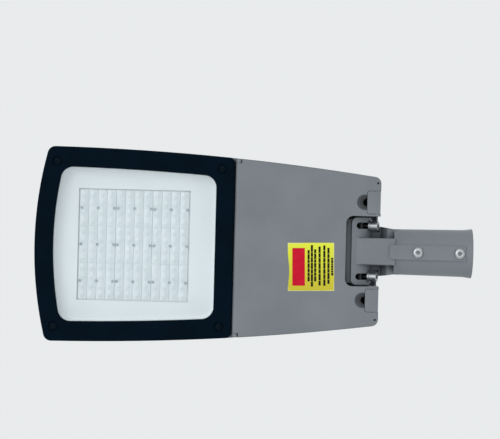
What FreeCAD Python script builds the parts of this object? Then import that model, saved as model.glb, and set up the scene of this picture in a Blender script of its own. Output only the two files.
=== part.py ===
import FreeCAD, Part
import math
import os

# LED street light head with a tilting pole spigot.
# Millimetres. +Z is up to the sky, the light shines down along -Z, and the
# origin is the centre of the spigot's mouth, with +X out of the mouth.

# The head in plan
SPIGOT_REACH = 128.5        # spigot mouth to the head's rear edge
HEAD_LENGTH = 472.2         # rear edge to the tip of the front arc
HEAD_WIDTH = 266.4          # widest, just behind the front arc
REAR_WIDTH = 202.0          # across the rear edge
WIDEST_FROM_TIP = 10.7      # where the side arcs run parallel to the axis
FRONT_RADIUS = 520.5
FRONT_CORNER = 11.0
REAR_CORNER = 9.5

# The crown, the domed top of the housing
CROWN_PEAK = 42.0           # height over the spigot axis
CROWN_PEAK_FROM_REAR = 72.0
CROWN_TIP = -6.0            # height at the tip of the front arc
SHOULDER_TIP = 17.0         # shoulder radius at the tip
SHOULDER_REAR = 37.0
SHOULDER_START_TIP = -28.0  # where the shoulder leaves the side wall
SHOULDER_START_REAR = 0.0
CROWN_FLARE = 1.0           # the crown starts this far outside the side wall
CROWN_OVERRUN = 3.0         # the crown's surface runs this far past both ends
CROWN_STATIONS = 7
NOSE_RADIUS = 24.0          # rounding of the front edge in side view
NOSE_SLOPE = 20.0           # degrees, where the nose runs into the crown
WALL = 3.0

# Depths below the spigot axis
BEZEL_FACE = -41.0
DOOR_FACE = -40.0
FRONT_RIM = -35.0           # housing rim under the bezel
REAR_RIM = -30.0            # housing rim over the door
LED_PLATE_LOW = -14.0
LED_PLATE = 5.0
JOINT_GAP = 0.3             # between the housing rim and the door skirt
PLAN_GAP = 0.7              # between the bezel and the door

# Bezel and its glass
BEZEL_LENGTH = 272.0
BORDER_FRONT = 25.4
BORDER_SIDE = 27.4
BORDER_REAR = 25.2
WINDOW_CORNER = 17.0
BEZEL_REAR_CORNER = 8.0
BEZEL_EDGE_ROUND = 3.0
GLASS_LAP = 6.0             # glass edge hidden under the bezel
GLASS = 4.0
GLASS_FACE = -37.0
GLASS_GAP = 0.5
GASKET_THICKNESS = 2.0
GASKET_WIDTH = 5.0
GROOVE_FROM_EDGE = 4.0      # screw groove round the rim
GROOVE_WIDTH = 9.0
GROOVE_DEPTH = 23.0
BEZEL_SCREW_FRONT = (28.7, 20.2)     # from the tip, and in from the side
BEZEL_SCREW_REAR = (17.8, 16.3)      # from the bezel's rear edge, and in
BEZEL_RECESS_RADIUS = 7.0
BEZEL_RECESS_DEPTH = 2.0
BEZEL_SCREW_HEAD = 4.0
BEZEL_SCREW_SHANK = 2.5
BEZEL_SCREW_LENGTH = 18.0
SCREW_BOSS = 6.0
THREAD_GAP = 0.05

# Cooling fins over the lamp bay
FIN_PITCH = 13.0
FIN_SLOT = 10.2
FIN_SIDE_MARGIN = 20.0      # kept free of fins at each side
FIN_FRONT_FROM_TIP = 34.0
FIN_REAR_FROM_TIP = 266.0

# Light source
MODULE = 49.6
MODULE_PITCH = 50.2
MODULE_ROWS = 3
ARRAY_SHIFT = -1.2          # array centre from the window's centre
LENS_PITCH = 12.5
LENS_ROWS = 4
LENS_RADIUS = 5.1
LENS_TOP_RADIUS = 3.0
LENS_HEIGHT = 4.2
LENS_SIDES = 8
LENS_PLATE = 2.6
LENS_CAVITY = 1.1
LENS_RIM = 1.2
BOARD_MARGIN = 5.0
BOARD = 1.6
CHIP = 3.0
CHIP_HEIGHT = 0.7
MODULE_SCREW_SHANK = 1.5
MODULE_SCREW_HEAD = 2.0
MODULE_SCREW_RISE = 1.6
MODULE_SCREW_INSET = 2.3    # outer screws from the module's edges
REFLECTOR_FACE = -20.0
REFLECTOR = 1.0
REFLECTOR_GAP = 1.4
LAMP_BAY_GAP = 1.0          # the lamp bay is this much wider than the window

# Driver bay
PARTITION = 14.0            # between the lamp bay and the driver bay
BAY_REAR_WALL = 6.0
SADDLE_DEPTH = 15.3         # bay's rear wall to the tilt axis
WIRING_ROOM = 56.0          # behind the driver
DRIVER_HEIGHT = 36.0
DRIVER_FROM_SIDE = 22.6
DRIVER_TOP = 14.0
DRIVER_FROM_PARTITION = 17.0
DRIVER_CAP = 3.0
DRIVER_CHAMFER = 3.0
DRIVER_GROOVES = 5
DRIVER_GROOVE_WIDTH = 4.0
DRIVER_GROOVE_DEPTH = 2.0
DRIVER_EAR = 9.0
DRIVER_EAR_HEIGHT = 3.0
SURGE_SIZE = (28.0, 58.0, 34.0)
SURGE_BEHIND = 24.0         # centre behind the driver's rear face
SURGE_FROM_SIDE = 55.6
TERMINAL_SIZE = (20.0, 46.0, 18.0)
TERMINAL_BEHIND = 24.0
TERMINAL_OUT = 30.0
TERMINAL_POLES = 3
WIRE_HOLE = 3.0
WIRE_HOLE_DEPTH = 6.0
BLOCK_CORNER = 2.0
SHELF_HEIGHT = 8.0          # underside of the pads that carry both
SMALL_SCREW_HEAD = 3.6
SMALL_SCREW_HEAD_HEIGHT = 2.4
SMALL_SCREW_SHANK = 2.0
SMALL_SCREW_LENGTH = 8.0
SMALL_SCREW_HOLE = 8.5      # depth from the same face
LEAD = 2.2                  # cable radius
LEAD_OUT = 80.0             # the lamp lead's distance from the axis
LEAD_GAP = 0.4              # between the lamp lead and the plate over it
PLUG_SIZE = (8.4, 10.0, 3.2)
PLUG_OUT = 68.0
GLAND_RADIUS = 5.5
GLAND_FLANGE = 8.0
GLAND_FLANGE_THICKNESS = 2.0
LAMP_LEAD_START = ((0, 0, 0), (0, 9, 0), (-14, 14, -4))     # from the driver's end plate
LAMP_LEAD_BEND = (20.0, 6.0)         # from the partition, and from the end plate
LAMP_LEAD_ENTRY = 10.0      # before the partition
LAMP_LEAD_EXIT = 4.1        # into the lamp bay
LAMP_LEAD_END = 10.0        # last straight run, into the plug
MAINS_LEAD_START = ((0, 0), (-8, 0))                        # from the terminal block
MAINS_LEAD_DROP = (-11, -16, -14)
MAINS_LEAD_UNDER = (-20, -62)                               # passes below the driver
MAINS_LEAD_END = ((20, -10), (8, -13), (0, -9), (0, 0))     # to the driver's end plate

# Spigot
TUBE_RADIUS_INNER_END = 31.3
TUBE_RADIUS_MOUTH_END = 32.5
TUBE_FROM_REAR = 20.5       # tube's inner end, behind the head's rear edge
COLLAR_RADIUS = 34.0
COLLAR_LENGTH = 12.0
BORE_RADIUS = 26.5
BORE_END_WALL = 10.0
PAD_HALF_WIDTH = 10.0
PAD_FACE = -33.4
PAD_LAP = 6.5               # the pad's nose runs over the tube's inner end
PAD_END = 10.0
CLAMP_SCREW_INNER = 31.8    # from the tube's inner end
CLAMP_SCREW_OUTER = 18.7    # from the mouth
CLAMP_HEAD_RADIUS = 7.2
CLAMP_HEAD = 5.0
CLAMP_HEAD_ROUND = 3.0
CLAMP_SHANK = 4.0
CLAMP_SOCKET = 2.9
CLAMP_SOCKET_DEPTH = 3.0
TILT_FROM_REAR = 42.2       # tilt axis in front of the head's rear edge
DRUM_RADIUS = 31.0
DRUM_WALL = 9.0
DRUM_HALF_WIDTH = 46.0
DRUM_CORNER = 7.0
DRUM_TOP_ANGLE = 45.0       # degrees above the spigot axis
DRUM_LOW_ANGLE = 82.7       # degrees below it
BOSS_HALF_WIDTH = 18.4
BOSS_REACH = 31.5           # in front of the head's rear edge
BOSS_RAMP = 7.0
BOSS_RAMP_HEIGHT = 2.0
NECK_TOP_START = (17.5, 5.0)         # in front of the rear edge, and height
NECK_TOP_HEIGHT = 30.5      # at the tube's inner end
NECK_HALF_WIDTH = 34.4
NECK_OUTSIDE = 1.0          # the neck is widest this far behind the rear edge
NECK_LAP = 8.0              # the neck runs this far over the tube's end
POCKET_START = 0.0          # pocket beside the boss: height at the drum
POCKET_SLOPE = ((-30.0, 4.0), (-17.0, 7.0), (-9.0, -8.0))   # from the tube's inner end, and height
BOSS_EDGE_ROUND = 2.0
CABLE_HOLE = 8.0
GROMMET_FLANGE = 3.0
GROMMET_WALL = 2.0

# Tilt bolts, through curved slots in the drum
BOLT_OUT = 35.0
BOLT_ANGLE = 20.0           # degrees below the spigot axis at rest
BOLT_SHANK = 4.0
BOLT_HEAD_RADIUS = 6.5
BOLT_HEAD = 8.0
BOLT_SOCKET = 3.4
BOLT_SOCKET_DEPTH = 4.5
BOLT_DEPTH = 17.0           # thread in the saddle
WASHER_RADIUS = 8.0
WASHER = 1.6
SPRING_WASHER_RADIUS = 6.8
SPRING_WASHER = 2.2
SPRING_WASHER_SPLIT = 1.4
SLOT_HALF_WIDTH = 4.4
SLOT_LOW_ANGLE = 62.5
SLOT_TOP_ANGLE = 0.0
SADDLE_HALF_WIDTH = 44.0
SADDLE_FIT = 0.1
SADDLE_BLOCK_FROM_AXIS = 6.3
RELIEF_DEPTH = 9.0          # grooves in the saddle behind the drum's slots
RELIEF_ANGLE = 33.0         # degrees below the spigot axis
HEAD_SWEEP_GAP = 0.8        # room round the bolt heads as they swing
SWEEP_TOP_ANGLE = 16.0      # degrees above the spigot axis

# Door and the well for the spigot
DOOR_SKIN = 3.0
DOOR_SKIRT = 2.5
DOOR_EDGE_ROUND = 2.0
WELL_HALF_WIDTH = 48.2
WELL_DEPTH = 46.7           # from the rear edge
WELL_CORNER = 10.0
WELL_SKIRT_TOP = -33.5
TOP_NOTCH_HALF_WIDTH = 36.5
TOP_NOTCH_LENGTH = 21.5
HINGE_RADIUS = 4.0          # rolled front edge of the door
HINGE_EAR = 5.1             # width of the housing's ear at each end
HINGE_END_GAP = 0.4
HINGE_PIN = 2.0
HINGE_PIN_LENGTH = 14.0
RUNNING_GAP = 0.06
EAR_CLEARANCE = 0.6
EAR_FROM_SIDE = 1.0
SEAL_FROM_HINGE = 9.0
SEAL_SIDE_INSET = 7.0
SEAL_WIDTH = 5.0
SEAL_HEIGHT = 2.7
SEAL_MARGIN = 1.5           # rim inside the seal
WEEP_FROM_REAR = 4.5
WEEP_FROM_SIDE = 8.3
WEEP_RADIUS = 1.4

# Latches at the rear edge, one each side of the spigot
LATCH_OUT = 67.0
LATCH_HALF_WIDTH = 15.5
LATCH_LENGTH = 18.6
LATCH_PLATE = 2.5
LATCH_CORNER = 3.0
LATCH_GAP = 0.5
LATCH_PIVOT_FROM_REAR = 5.0
LATCH_PIVOT_LEVEL = -34.0
LATCH_BARREL = 3.0
LATCH_PIN = 1.5
LATCH_PIN_INSET = 0.6       # pin ends, inside the lugs' outer faces
LATCH_BARREL_INSET = 1.0
LATCH_STEM_HALF_WIDTH = 6.5
LATCH_STEM = 2.7
LATCH_STEM_START = 4.0      # in front of the pivot
LATCH_NOSE_LENGTH = 2.1
LATCH_NOSE_HEIGHT = 5.0
LATCH_PLAY = 0.1            # between the nose and the catch's lip
LATCH_LUG = 2.3
CATCH_LEVEL = -23.0
CATCH_STRIP = 0.8
CATCH_LIP = 2.6
CATCH_LENGTH = 18.0
CATCH_HALF_WIDTH = 6.0
CATCH_RIVET = 3.2
CATCH_RIVET_HEAD = 1.4
CATCH_RIVET_FROM_TOP = 5.0
SCOOP_RADIUS = 10.5         # at the door's face
SCOOP_DEPTH = 7.5
SCOOP_FROM_LATCH = 3.3      # centre in front of the latch's gap
SCOOP_WALL = 2.0
SCOOP_HOLE = 5.0            # opens the hollow under the latch's edge
SCOOP_HOLE_LOW = 4.0        # above the door's face

# Rating label on the door
LABEL_FROM_REAR = 93.5
LABEL_OUT = 23.0
LABEL_LENGTH = 63.3
LABEL_WIDTH = 65.7
LABEL_THICKNESS = 0.3
LABEL_TURN = 1.5

# Places worked out from the sizes above
REAR_X = -SPIGOT_REACH
TIP_X = REAR_X - HEAD_LENGTH
BEZEL_REAR_X = TIP_X + BEZEL_LENGTH
FRONT_CENTRE_X = TIP_X + FRONT_RADIUS
SIDE_APEX_X = TIP_X + WIDEST_FROM_TIP
SIDE_RUN = REAR_X - SIDE_APEX_X
SIDE_DROP = (HEAD_WIDTH - REAR_WIDTH) / 2
SIDE_RADIUS = (SIDE_RUN ** 2 + SIDE_DROP ** 2) / (2 * SIDE_DROP)
SIDE_CENTRE_Y = HEAD_WIDTH / 2 - SIDE_RADIUS
TILT_X = REAR_X - TILT_FROM_REAR
HINGE_X = BEZEL_REAR_X + PLAN_GAP + HINGE_RADIUS
HINGE_Z = DOOR_FACE + HINGE_RADIUS
LATCH_PIVOT_X = REAR_X - LATCH_PIVOT_FROM_REAR
SADDLE_RADIUS = DRUM_RADIUS - DRUM_WALL - SADDLE_FIT
TUBE_LENGTH = SPIGOT_REACH - TUBE_FROM_REAR
BORE_DEPTH = TUBE_LENGTH - BORE_END_WALL
CLAMP_SCREW_XS = (CLAMP_SCREW_INNER - TUBE_LENGTH, -CLAMP_SCREW_OUTER)
BAY_FRONT_X = BEZEL_REAR_X + PLAN_GAP + 2 * HINGE_RADIUS - PARTITION / 2
CAVITY_FRONT_X = TILT_X - SADDLE_DEPTH
BAY_REAR_X = CAVITY_FRONT_X - BAY_REAR_WALL
GLASS_REAR_X = BEZEL_REAR_X - BORDER_REAR + GLASS_LAP
LAMP_BAY_REAR_X = GLASS_REAR_X - GLASS_LAP + LAMP_BAY_GAP
ARRAY_X = TIP_X + (BORDER_FRONT + BEZEL_LENGTH - BORDER_REAR) / 2 + ARRAY_SHIFT
BOARD_LOW = LED_PLATE_LOW - BOARD
LENS_LOW = BOARD_LOW - LENS_PLATE
FIN_FLOOR = LED_PLATE_LOW + LED_PLATE
FIN_COUNT = int((HEAD_WIDTH - 2 * FIN_SIDE_MARGIN) / FIN_PITCH)
BOARD_END_X = ARRAY_X + MODULE_PITCH * MODULE_ROWS / 2 + BOARD_MARGIN
LEAD_LEVEL = LED_PLATE_LOW - LEAD - LEAD_GAP
FOOT = BEZEL_FACE - 10      # below everything
HIGH = 90.0                 # above everything, for cutting tools
WIDE = HEAD_WIDTH


def vec(x, y, z):
    return FreeCAD.Vector(x, y, z)


Y_AXIS = vec(0, 1, 0)
Z_AXIS = vec(0, 0, 1)


def box(x0, x1, y0, y1, z0, z1):
    """Block between two corners."""
    return Part.makeBox(x1 - x0, y1 - y0, z1 - z0, vec(x0, y0, z0))


def rod(radius, start, end):
    """Round bar between two points."""
    return Part.makeCylinder(radius, (end - start).Length, start, end - start)


def polygon_prism(points, direction):
    """Flat polygon pushed along a direction."""
    return Part.Face(Part.makePolygon(points + points[:1])).extrude(direction)


def side_prism(points, y0, y1):
    """Outline in the side view, given as (x, z), between two widths."""
    return polygon_prism([vec(x, y0, z) for x, z in points], vec(0, y1 - y0, 0))


def fuse(shapes):
    return shapes[0].multiFuse(shapes[1:]).removeSplitter()


def join(shapes):
    """Like pieces that stay separate solids in one sub-part."""
    return Part.makeCompound(shapes)


def mirrored(shape):
    return shape.mirror(vec(0, 0, 0), Y_AXIS)


def both_sides(shape):
    return [shape, mirrored(shape)]


def round_edges(shape, radius, chosen):
    edges = [edge for edge in shape.Edges if chosen(edge)]
    return shape.makeFillet(radius, edges)


def is_upright(edge):
    first, last = edge.Vertexes[0].Point, edge.Vertexes[-1].Point
    return math.hypot(last.x - first.x, last.y - first.y) < 0.001 and edge.Length > 0.01


def half_width(x, inset=0.0):
    """Half the head's width at x, pulled in by an inset."""
    radius = SIDE_RADIUS - inset
    return SIDE_CENTRE_Y + math.sqrt(radius ** 2 - (x - SIDE_APEX_X) ** 2)


def front_corner(front_inset, side_inset):
    """Where the front arc meets a side arc."""
    low_y, high_y = 0.0, HEAD_WIDTH / 2
    radius = FRONT_RADIUS - front_inset
    for _ in range(60):
        y = (low_y + high_y) / 2
        x = FRONT_CENTRE_X - math.sqrt(radius ** 2 - y ** 2)
        if half_width(x, side_inset) > y:
            low_y = y
        else:
            high_y = y
    return x, y


def plan_prism(front_inset, side_inset, rear_x, z0, z1, front_round, rear_round):
    """The head's plan outline, inset and cut off at rear_x, as a prism."""
    corner_x, corner_y = front_corner(front_inset, side_inset)
    middle_x = (corner_x + rear_x) / 2
    middle_y = half_width(middle_x, side_inset)
    rear_y = half_width(rear_x, side_inset)
    tip = vec(TIP_X + front_inset, 0, z0)
    left, right = vec(corner_x, -corner_y, z0), vec(corner_x, corner_y, z0)
    rear_left, rear_right = vec(rear_x, -rear_y, z0), vec(rear_x, rear_y, z0)
    edges = [
        Part.Arc(left, tip, right).toShape(),
        Part.Arc(right, vec(middle_x, middle_y, z0), rear_right).toShape(),
        Part.makeLine(rear_right, rear_left),
        Part.Arc(rear_left, vec(middle_x, -middle_y, z0), left).toShape(),
    ]
    solid = Part.Face(Part.Wire(edges)).extrude(vec(0, 0, z1 - z0))
    solid = round_edges(solid, front_round,
                        lambda e: is_upright(e) and e.Vertexes[0].X < corner_x + 1)
    return round_edges(solid, rear_round,
                       lambda e: is_upright(e) and e.Vertexes[0].X > rear_x - 1)


def along(x, tip_value, rear_value):
    """A size that changes evenly from the tip to the rear edge."""
    return tip_value + (rear_value - tip_value) * (x - TIP_X) / HEAD_LENGTH


def crown_height(x):
    peak_x = REAR_X - CROWN_PEAK_FROM_REAR
    return CROWN_PEAK - (CROWN_PEAK - CROWN_TIP) * ((x - peak_x) / (peak_x - TIP_X)) ** 2


def crown_section(x, inset):
    """Cross-section of the crown: walls, two shoulders and a shallow arch."""
    half = half_width(x, inset) + CROWN_FLARE
    radius = along(x, SHOULDER_TIP, SHOULDER_REAR) - inset
    start = along(x, SHOULDER_START_TIP, SHOULDER_START_REAR)
    peak = crown_height(x) - inset
    centre_y = half - radius
    rise = peak - start
    arch = (centre_y ** 2 + rise ** 2 - radius ** 2) / (2 * (rise - radius))
    arch_z = peak - arch
    angle = math.atan2(start - arch_z, centre_y)

    def shoulder(turn):
        return centre_y + radius * math.cos(turn), start + radius * math.sin(turn)

    join_y, join_z = shoulder(angle)
    middle_y, middle_z = shoulder(angle / 2)
    return Part.Wire([
        Part.makeLine(vec(x, -half, FOOT), vec(x, half, FOOT)),
        Part.makeLine(vec(x, half, FOOT), vec(x, half, start)),
        Part.Arc(vec(x, half, start), vec(x, middle_y, middle_z), vec(x, join_y, join_z)).toShape(),
        Part.Arc(vec(x, join_y, join_z), vec(x, 0, peak), vec(x, -join_y, join_z)).toShape(),
        Part.Arc(vec(x, -join_y, join_z), vec(x, -middle_y, middle_z), vec(x, -half, start)).toShape(),
        Part.makeLine(vec(x, -half, start), vec(x, -half, FOOT)),
    ])


def crown(inset):
    """Everything under the crown's surface, beyond the head at both ends."""
    first, last = TIP_X - CROWN_OVERRUN, REAR_X + CROWN_OVERRUN
    step = (last - first) / (CROWN_STATIONS - 1)
    sections = [crown_section(first + step * i, inset) for i in range(CROWN_STATIONS)]
    return Part.makeLoft(sections, True, False)


def nose():
    """Body of revolution that rounds the front edge in side view."""
    slope = math.radians(NOSE_SLOPE)
    low = FRONT_RIM + NOSE_RADIUS / 3
    rim = FRONT_RADIUS + CROWN_FLARE
    turn = math.pi / 2 - slope
    end = vec(rim - NOSE_RADIUS + NOSE_RADIUS * math.cos(turn), 0, low + NOSE_RADIUS * math.sin(turn))
    middle = vec(rim - NOSE_RADIUS + NOSE_RADIUS * math.cos(turn / 2), 0,
                 low + NOSE_RADIUS * math.sin(turn / 2))
    peak = end.z + end.x * math.tan(slope)
    edges = [
        Part.makeLine(vec(0, 0, FOOT), vec(rim, 0, FOOT)),
        Part.makeLine(vec(rim, 0, FOOT), vec(rim, 0, low)),
        Part.Arc(vec(rim, 0, low), middle, end).toShape(),
        Part.makeLine(end, vec(0, 0, peak)),
        Part.makeLine(vec(0, 0, peak), vec(0, 0, FOOT)),
    ]
    disc = Part.Face(Part.Wire(edges)).revolve(vec(0, 0, 0), Z_AXIS, 360)
    disc.translate(vec(FRONT_CENTRE_X, 0, 0))
    return disc


def ring_sector(inner, outer, half_width_y, top_angle, low_angle, centre_y=0.0):
    """Part of a tube about the tilt axis, between two angles."""
    up = math.radians(top_angle)
    corners = [
        vec(TILT_X + r * math.cos(up), y, r * math.sin(up))
        for r, y in ((inner, centre_y - half_width_y), (outer, centre_y - half_width_y),
                     (outer, centre_y + half_width_y), (inner, centre_y + half_width_y))
    ]
    face = Part.Face(Part.makePolygon(corners + corners[:1]))
    return face.revolve(vec(TILT_X, 0, 0), Y_AXIS, top_angle + low_angle)


def spoke(radius, y, start, end, low_angle=BOLT_ANGLE):
    """Round bar that points out from the tilt axis, low_angle below level."""
    angle = math.radians(low_angle)
    out = vec(math.cos(angle), 0, -math.sin(angle))
    return rod(radius, vec(TILT_X, y, 0) + out * start, vec(TILT_X, y, 0) + out * end)


def socket_cutter(width, y, start, end):
    """Six-sided key socket on a tilt bolt's axis."""
    points = [vec(width * math.cos(math.radians(60 * i)), width * math.sin(math.radians(60 * i)), 0)
              for i in range(6)]
    cutter = polygon_prism(points, vec(0, 0, end - start))
    cutter.translate(vec(0, 0, start))
    cutter.rotate(vec(0, 0, 0), Y_AXIS, 90 + BOLT_ANGLE)
    cutter.translate(vec(TILT_X, y, 0))
    return cutter


def bezel_screw_places():
    front_x = TIP_X + BEZEL_SCREW_FRONT[0]
    rear_x = BEZEL_REAR_X - BEZEL_SCREW_REAR[0]
    front_y = half_width(front_x) - BEZEL_SCREW_FRONT[1]
    rear_y = half_width(rear_x) - BEZEL_SCREW_REAR[1]
    return [(front_x, front_y), (front_x, -front_y), (rear_x, rear_y), (rear_x, -rear_y)]


def upright_rods(radius, places, z0, z1):
    return [rod(radius, vec(x, y, z0), vec(x, y, z1)) for x, y in places]


def seal_block(grow, z0, z1):
    """Block inside the seal's centre line, grown outwards by a distance."""
    body = plan_prism(0, SEAL_SIDE_INSET - grow, BAY_REAR_X + BAY_REAR_WALL / 2 + grow,
                      z0, z1, FRONT_CORNER, REAR_CORNER)
    return body.common(box(HINGE_X + SEAL_FROM_HINGE - grow, REAR_X, -WIDE, WIDE, z0, z1))


def seal_ring(width, z0, z1):
    """Ring round the driver bay, between the door and the housing rim."""
    return seal_block(width / 2, z0, z1).cut(seal_block(-width / 2, z0 - 1, z1 + 1))


def driver_size():
    """Length along the head, width and height, as the bay allows."""
    length = BAY_REAR_X - BAY_FRONT_X - DRIVER_FROM_PARTITION - WIRING_ROOM
    width = 2 * (half_width(BAY_REAR_X - WIRING_ROOM) - DRIVER_FROM_SIDE)
    return length, width, DRIVER_HEIGHT


def driver_x():
    return BAY_FRONT_X + DRIVER_FROM_PARTITION + driver_size()[0] / 2


def driver_screw_places():
    x = driver_x()
    length, width, height = driver_size()
    y = width / 2 - DRIVER_EAR / 2
    spread = length / 4
    return [(x + sx * spread, sy * y) for sx in (1, -1) for sy in (1, -1)]


def surge_place():
    x = BAY_REAR_X - WIRING_ROOM + SURGE_BEHIND
    return x, SURGE_FROM_SIDE - half_width(x)


def terminal_place():
    return BAY_REAR_X - WIRING_ROOM + TERMINAL_BEHIND, TERMINAL_OUT


def small_screw_places():
    surge_x, surge_y = surge_place()
    terminal_x, terminal_y = terminal_place()
    surge_end = SURGE_SIZE[1] / 2 + DRIVER_EAR / 2
    terminal_end = TERMINAL_SIZE[1] / 2 + DRIVER_EAR / 2
    return [(surge_x, surge_y + surge_end), (surge_x, surge_y - surge_end),
            (terminal_x, terminal_y + terminal_end), (terminal_x, terminal_y - terminal_end)]


def fin_slots():
    """Cutters that leave the cooling fins standing over the lamp bay."""
    x0 = TIP_X + FIN_FRONT_FROM_TIP
    x1 = TIP_X + FIN_REAR_FROM_TIP
    slots = []
    for i in range(FIN_COUNT + 1):
        y = (i - FIN_COUNT / 2) * FIN_PITCH
        slots.append(box(x0, x1, y - FIN_SLOT / 2, y + FIN_SLOT / 2, FIN_FLOOR, HIGH))
    return slots


def saddle(limit):
    """Half-round seat for the drum, on a block across the housing."""
    seat = rod(SADDLE_RADIUS, vec(TILT_X, -SADDLE_HALF_WIDTH, 0), vec(TILT_X, SADDLE_HALF_WIDTH, 0))
    block = box(CAVITY_FRONT_X - 1, TILT_X - SADDLE_BLOCK_FROM_AXIS,
                -WELL_HALF_WIDTH - WALL, WELL_HALF_WIDTH + WALL, REAR_RIM, HIGH)
    return [seat.common(box(CAVITY_FRONT_X - 1, 0, -WIDE, WIDE, -HIGH, HIGH)), block.common(limit)]


def well_walls(limit):
    """Walls each side of the drum, from the bay to the rear wall."""
    wall = box(CAVITY_FRONT_X - 1, REAR_X - WALL / 2, WELL_HALF_WIDTH, WELL_HALF_WIDTH + WALL,
               REAR_RIM, HIGH)
    return both_sides(wall.common(limit))


def hinge_half():
    """Half the length of the door's rolled edge, between the ears."""
    return half_width(HINGE_X) - EAR_FROM_SIDE - HINGE_EAR - HINGE_END_GAP


def hinge_ears():
    """Round ears of the housing that hold the door's hinge pins."""
    inner_y = hinge_half() + HINGE_END_GAP
    outer_y = half_width(HINGE_X) - EAR_FROM_SIDE
    ear = rod(HINGE_RADIUS, vec(HINGE_X, inner_y, HINGE_Z), vec(HINGE_X, outer_y, HINGE_Z))
    web = box(HINGE_X - HINGE_RADIUS, HINGE_X + HINGE_RADIUS - EAR_CLEARANCE, inner_y, outer_y,
              HINGE_Z, REAR_RIM + 1)
    return both_sides(fuse([ear, web]))


def upper_housing():
    """Die-cast top: crown, fins, lamp bay, driver bay and drum saddle."""
    outer = crown(0).common(nose())
    outer = outer.common(plan_prism(0, 0, REAR_X, FRONT_RIM, HIGH, FRONT_CORNER, REAR_CORNER))
    rear_skirt = box(BEZEL_REAR_X, REAR_X + 1, -WIDE, WIDE, FRONT_RIM - 1, REAR_RIM)
    body = outer.cut(rear_skirt)
    inner = crown(WALL)
    bay = plan_prism(WALL, WALL, REAR_X - WALL, REAR_RIM - 1, HIGH,
                     FRONT_CORNER, REAR_CORNER - WALL).common(inner)
    driver_bay = bay.common(box(BAY_FRONT_X, BAY_REAR_X, -WIDE, WIDE, REAR_RIM + WALL, HIGH))
    mouth = seal_block(-SEAL_WIDTH / 2 - SEAL_MARGIN, REAR_RIM - 1, REAR_RIM + WALL + 1)
    rear_bay = bay.common(box(CAVITY_FRONT_X, REAR_X, -WIDE, WIDE, REAR_RIM - 1, HIGH))
    body = body.cut([driver_bay, mouth, rear_bay])

    rebate = plan_prism(BORDER_FRONT - GLASS_LAP - GLASS_GAP, BORDER_SIDE - GLASS_LAP - GLASS_GAP,
                        GLASS_REAR_X + GLASS_GAP, FRONT_RIM - 1, GLASS_FACE + GLASS + GASKET_THICKNESS,
                        WINDOW_CORNER + GLASS_LAP, WINDOW_CORNER + GLASS_LAP)
    lamp_bay = plan_prism(BORDER_FRONT - LAMP_BAY_GAP, BORDER_SIDE - LAMP_BAY_GAP,
                          LAMP_BAY_REAR_X, FRONT_RIM - 1, LED_PLATE_LOW, WINDOW_CORNER, WINDOW_CORNER)
    groove_top = FRONT_RIM + GROOVE_DEPTH
    groove = plan_prism(GROOVE_FROM_EDGE, GROOVE_FROM_EDGE, BEZEL_REAR_X - GROOVE_FROM_EDGE,
                        FRONT_RIM - 1, groove_top, FRONT_CORNER, FRONT_CORNER)
    groove_inner = GROOVE_FROM_EDGE + GROOVE_WIDTH
    groove = groove.cut(plan_prism(groove_inner, groove_inner, BEZEL_REAR_X - groove_inner,
                                   FRONT_RIM - 2, groove_top + 1, WINDOW_CORNER, WINDOW_CORNER))
    body = body.cut([rebate, lamp_bay, groove])
    body = body.cut(fin_slots())

    places = bezel_screw_places()
    bosses = upright_rods(SCREW_BOSS, places, FRONT_RIM, groove_top + 1)
    limit = crown(WALL / 2)
    extras = bosses + saddle(limit) + well_walls(limit) + hinge_ears()
    pillars = upright_rods(SCREW_BOSS, driver_screw_places(), DRIVER_TOP, HIGH)
    pillars += upright_rods(SCREW_BOSS, small_screw_places(), SHELF_HEIGHT, HIGH)
    extras += [pillar.common(limit) for pillar in pillars]
    body = fuse([body] + extras)

    cuts = upright_rods(BEZEL_SCREW_SHANK + THREAD_GAP, places, FRONT_RIM - 1,
                        FRONT_RIM + BEZEL_SCREW_LENGTH)
    cuts += upright_rods(SMALL_SCREW_SHANK + THREAD_GAP, driver_screw_places(), DRIVER_TOP - 1,
                         DRIVER_TOP - DRIVER_EAR_HEIGHT + SMALL_SCREW_HOLE)
    cuts += upright_rods(SMALL_SCREW_SHANK + THREAD_GAP, small_screw_places(), SHELF_HEIGHT - 1,
                         SHELF_HEIGHT - DRIVER_EAR_HEIGHT + SMALL_SCREW_HOLE)
    cuts.append(box(REAR_X - WALL - 1, REAR_X + 1, -WELL_HALF_WIDTH, WELL_HALF_WIDTH,
                    REAR_RIM - 1, DRUM_RADIUS))
    cuts.append(box(REAR_X - TOP_NOTCH_LENGTH, REAR_X + 1, -TOP_NOTCH_HALF_WIDTH, TOP_NOTCH_HALF_WIDTH,
                    DRUM_RADIUS / 2, HIGH))
    for side in (1, -1):
        cuts.append(spoke(BOLT_SHANK + THREAD_GAP, side * BOLT_OUT,
                          SADDLE_RADIUS - BOLT_DEPTH - 1, DRUM_RADIUS))
        cuts.append(ring_sector(SADDLE_RADIUS - RELIEF_DEPTH, SADDLE_RADIUS + 1, SLOT_HALF_WIDTH,
                                -RELIEF_ANGLE, SLOT_LOW_ANGLE + BOLT_ANGLE / 2, side * BOLT_OUT))
        pin_y = half_width(HINGE_X) - WALL
        cuts.append(rod(HINGE_PIN, vec(HINGE_X, side * hinge_half(), HINGE_Z),
                        vec(HINGE_X, side * pin_y, HINGE_Z)))
    cuts.append(rod(CABLE_HOLE, vec(BAY_REAR_X - 1, 0, 0), vec(TILT_X + DRUM_RADIUS, 0, 0)))
    cuts.append(rod(GLAND_RADIUS, vec(BAY_FRONT_X + 1, LEAD_OUT, LEAD_LEVEL),
                    vec(LAMP_BAY_REAR_X - 1, LEAD_OUT, LEAD_LEVEL)))
    return body.cut(cuts)


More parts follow.
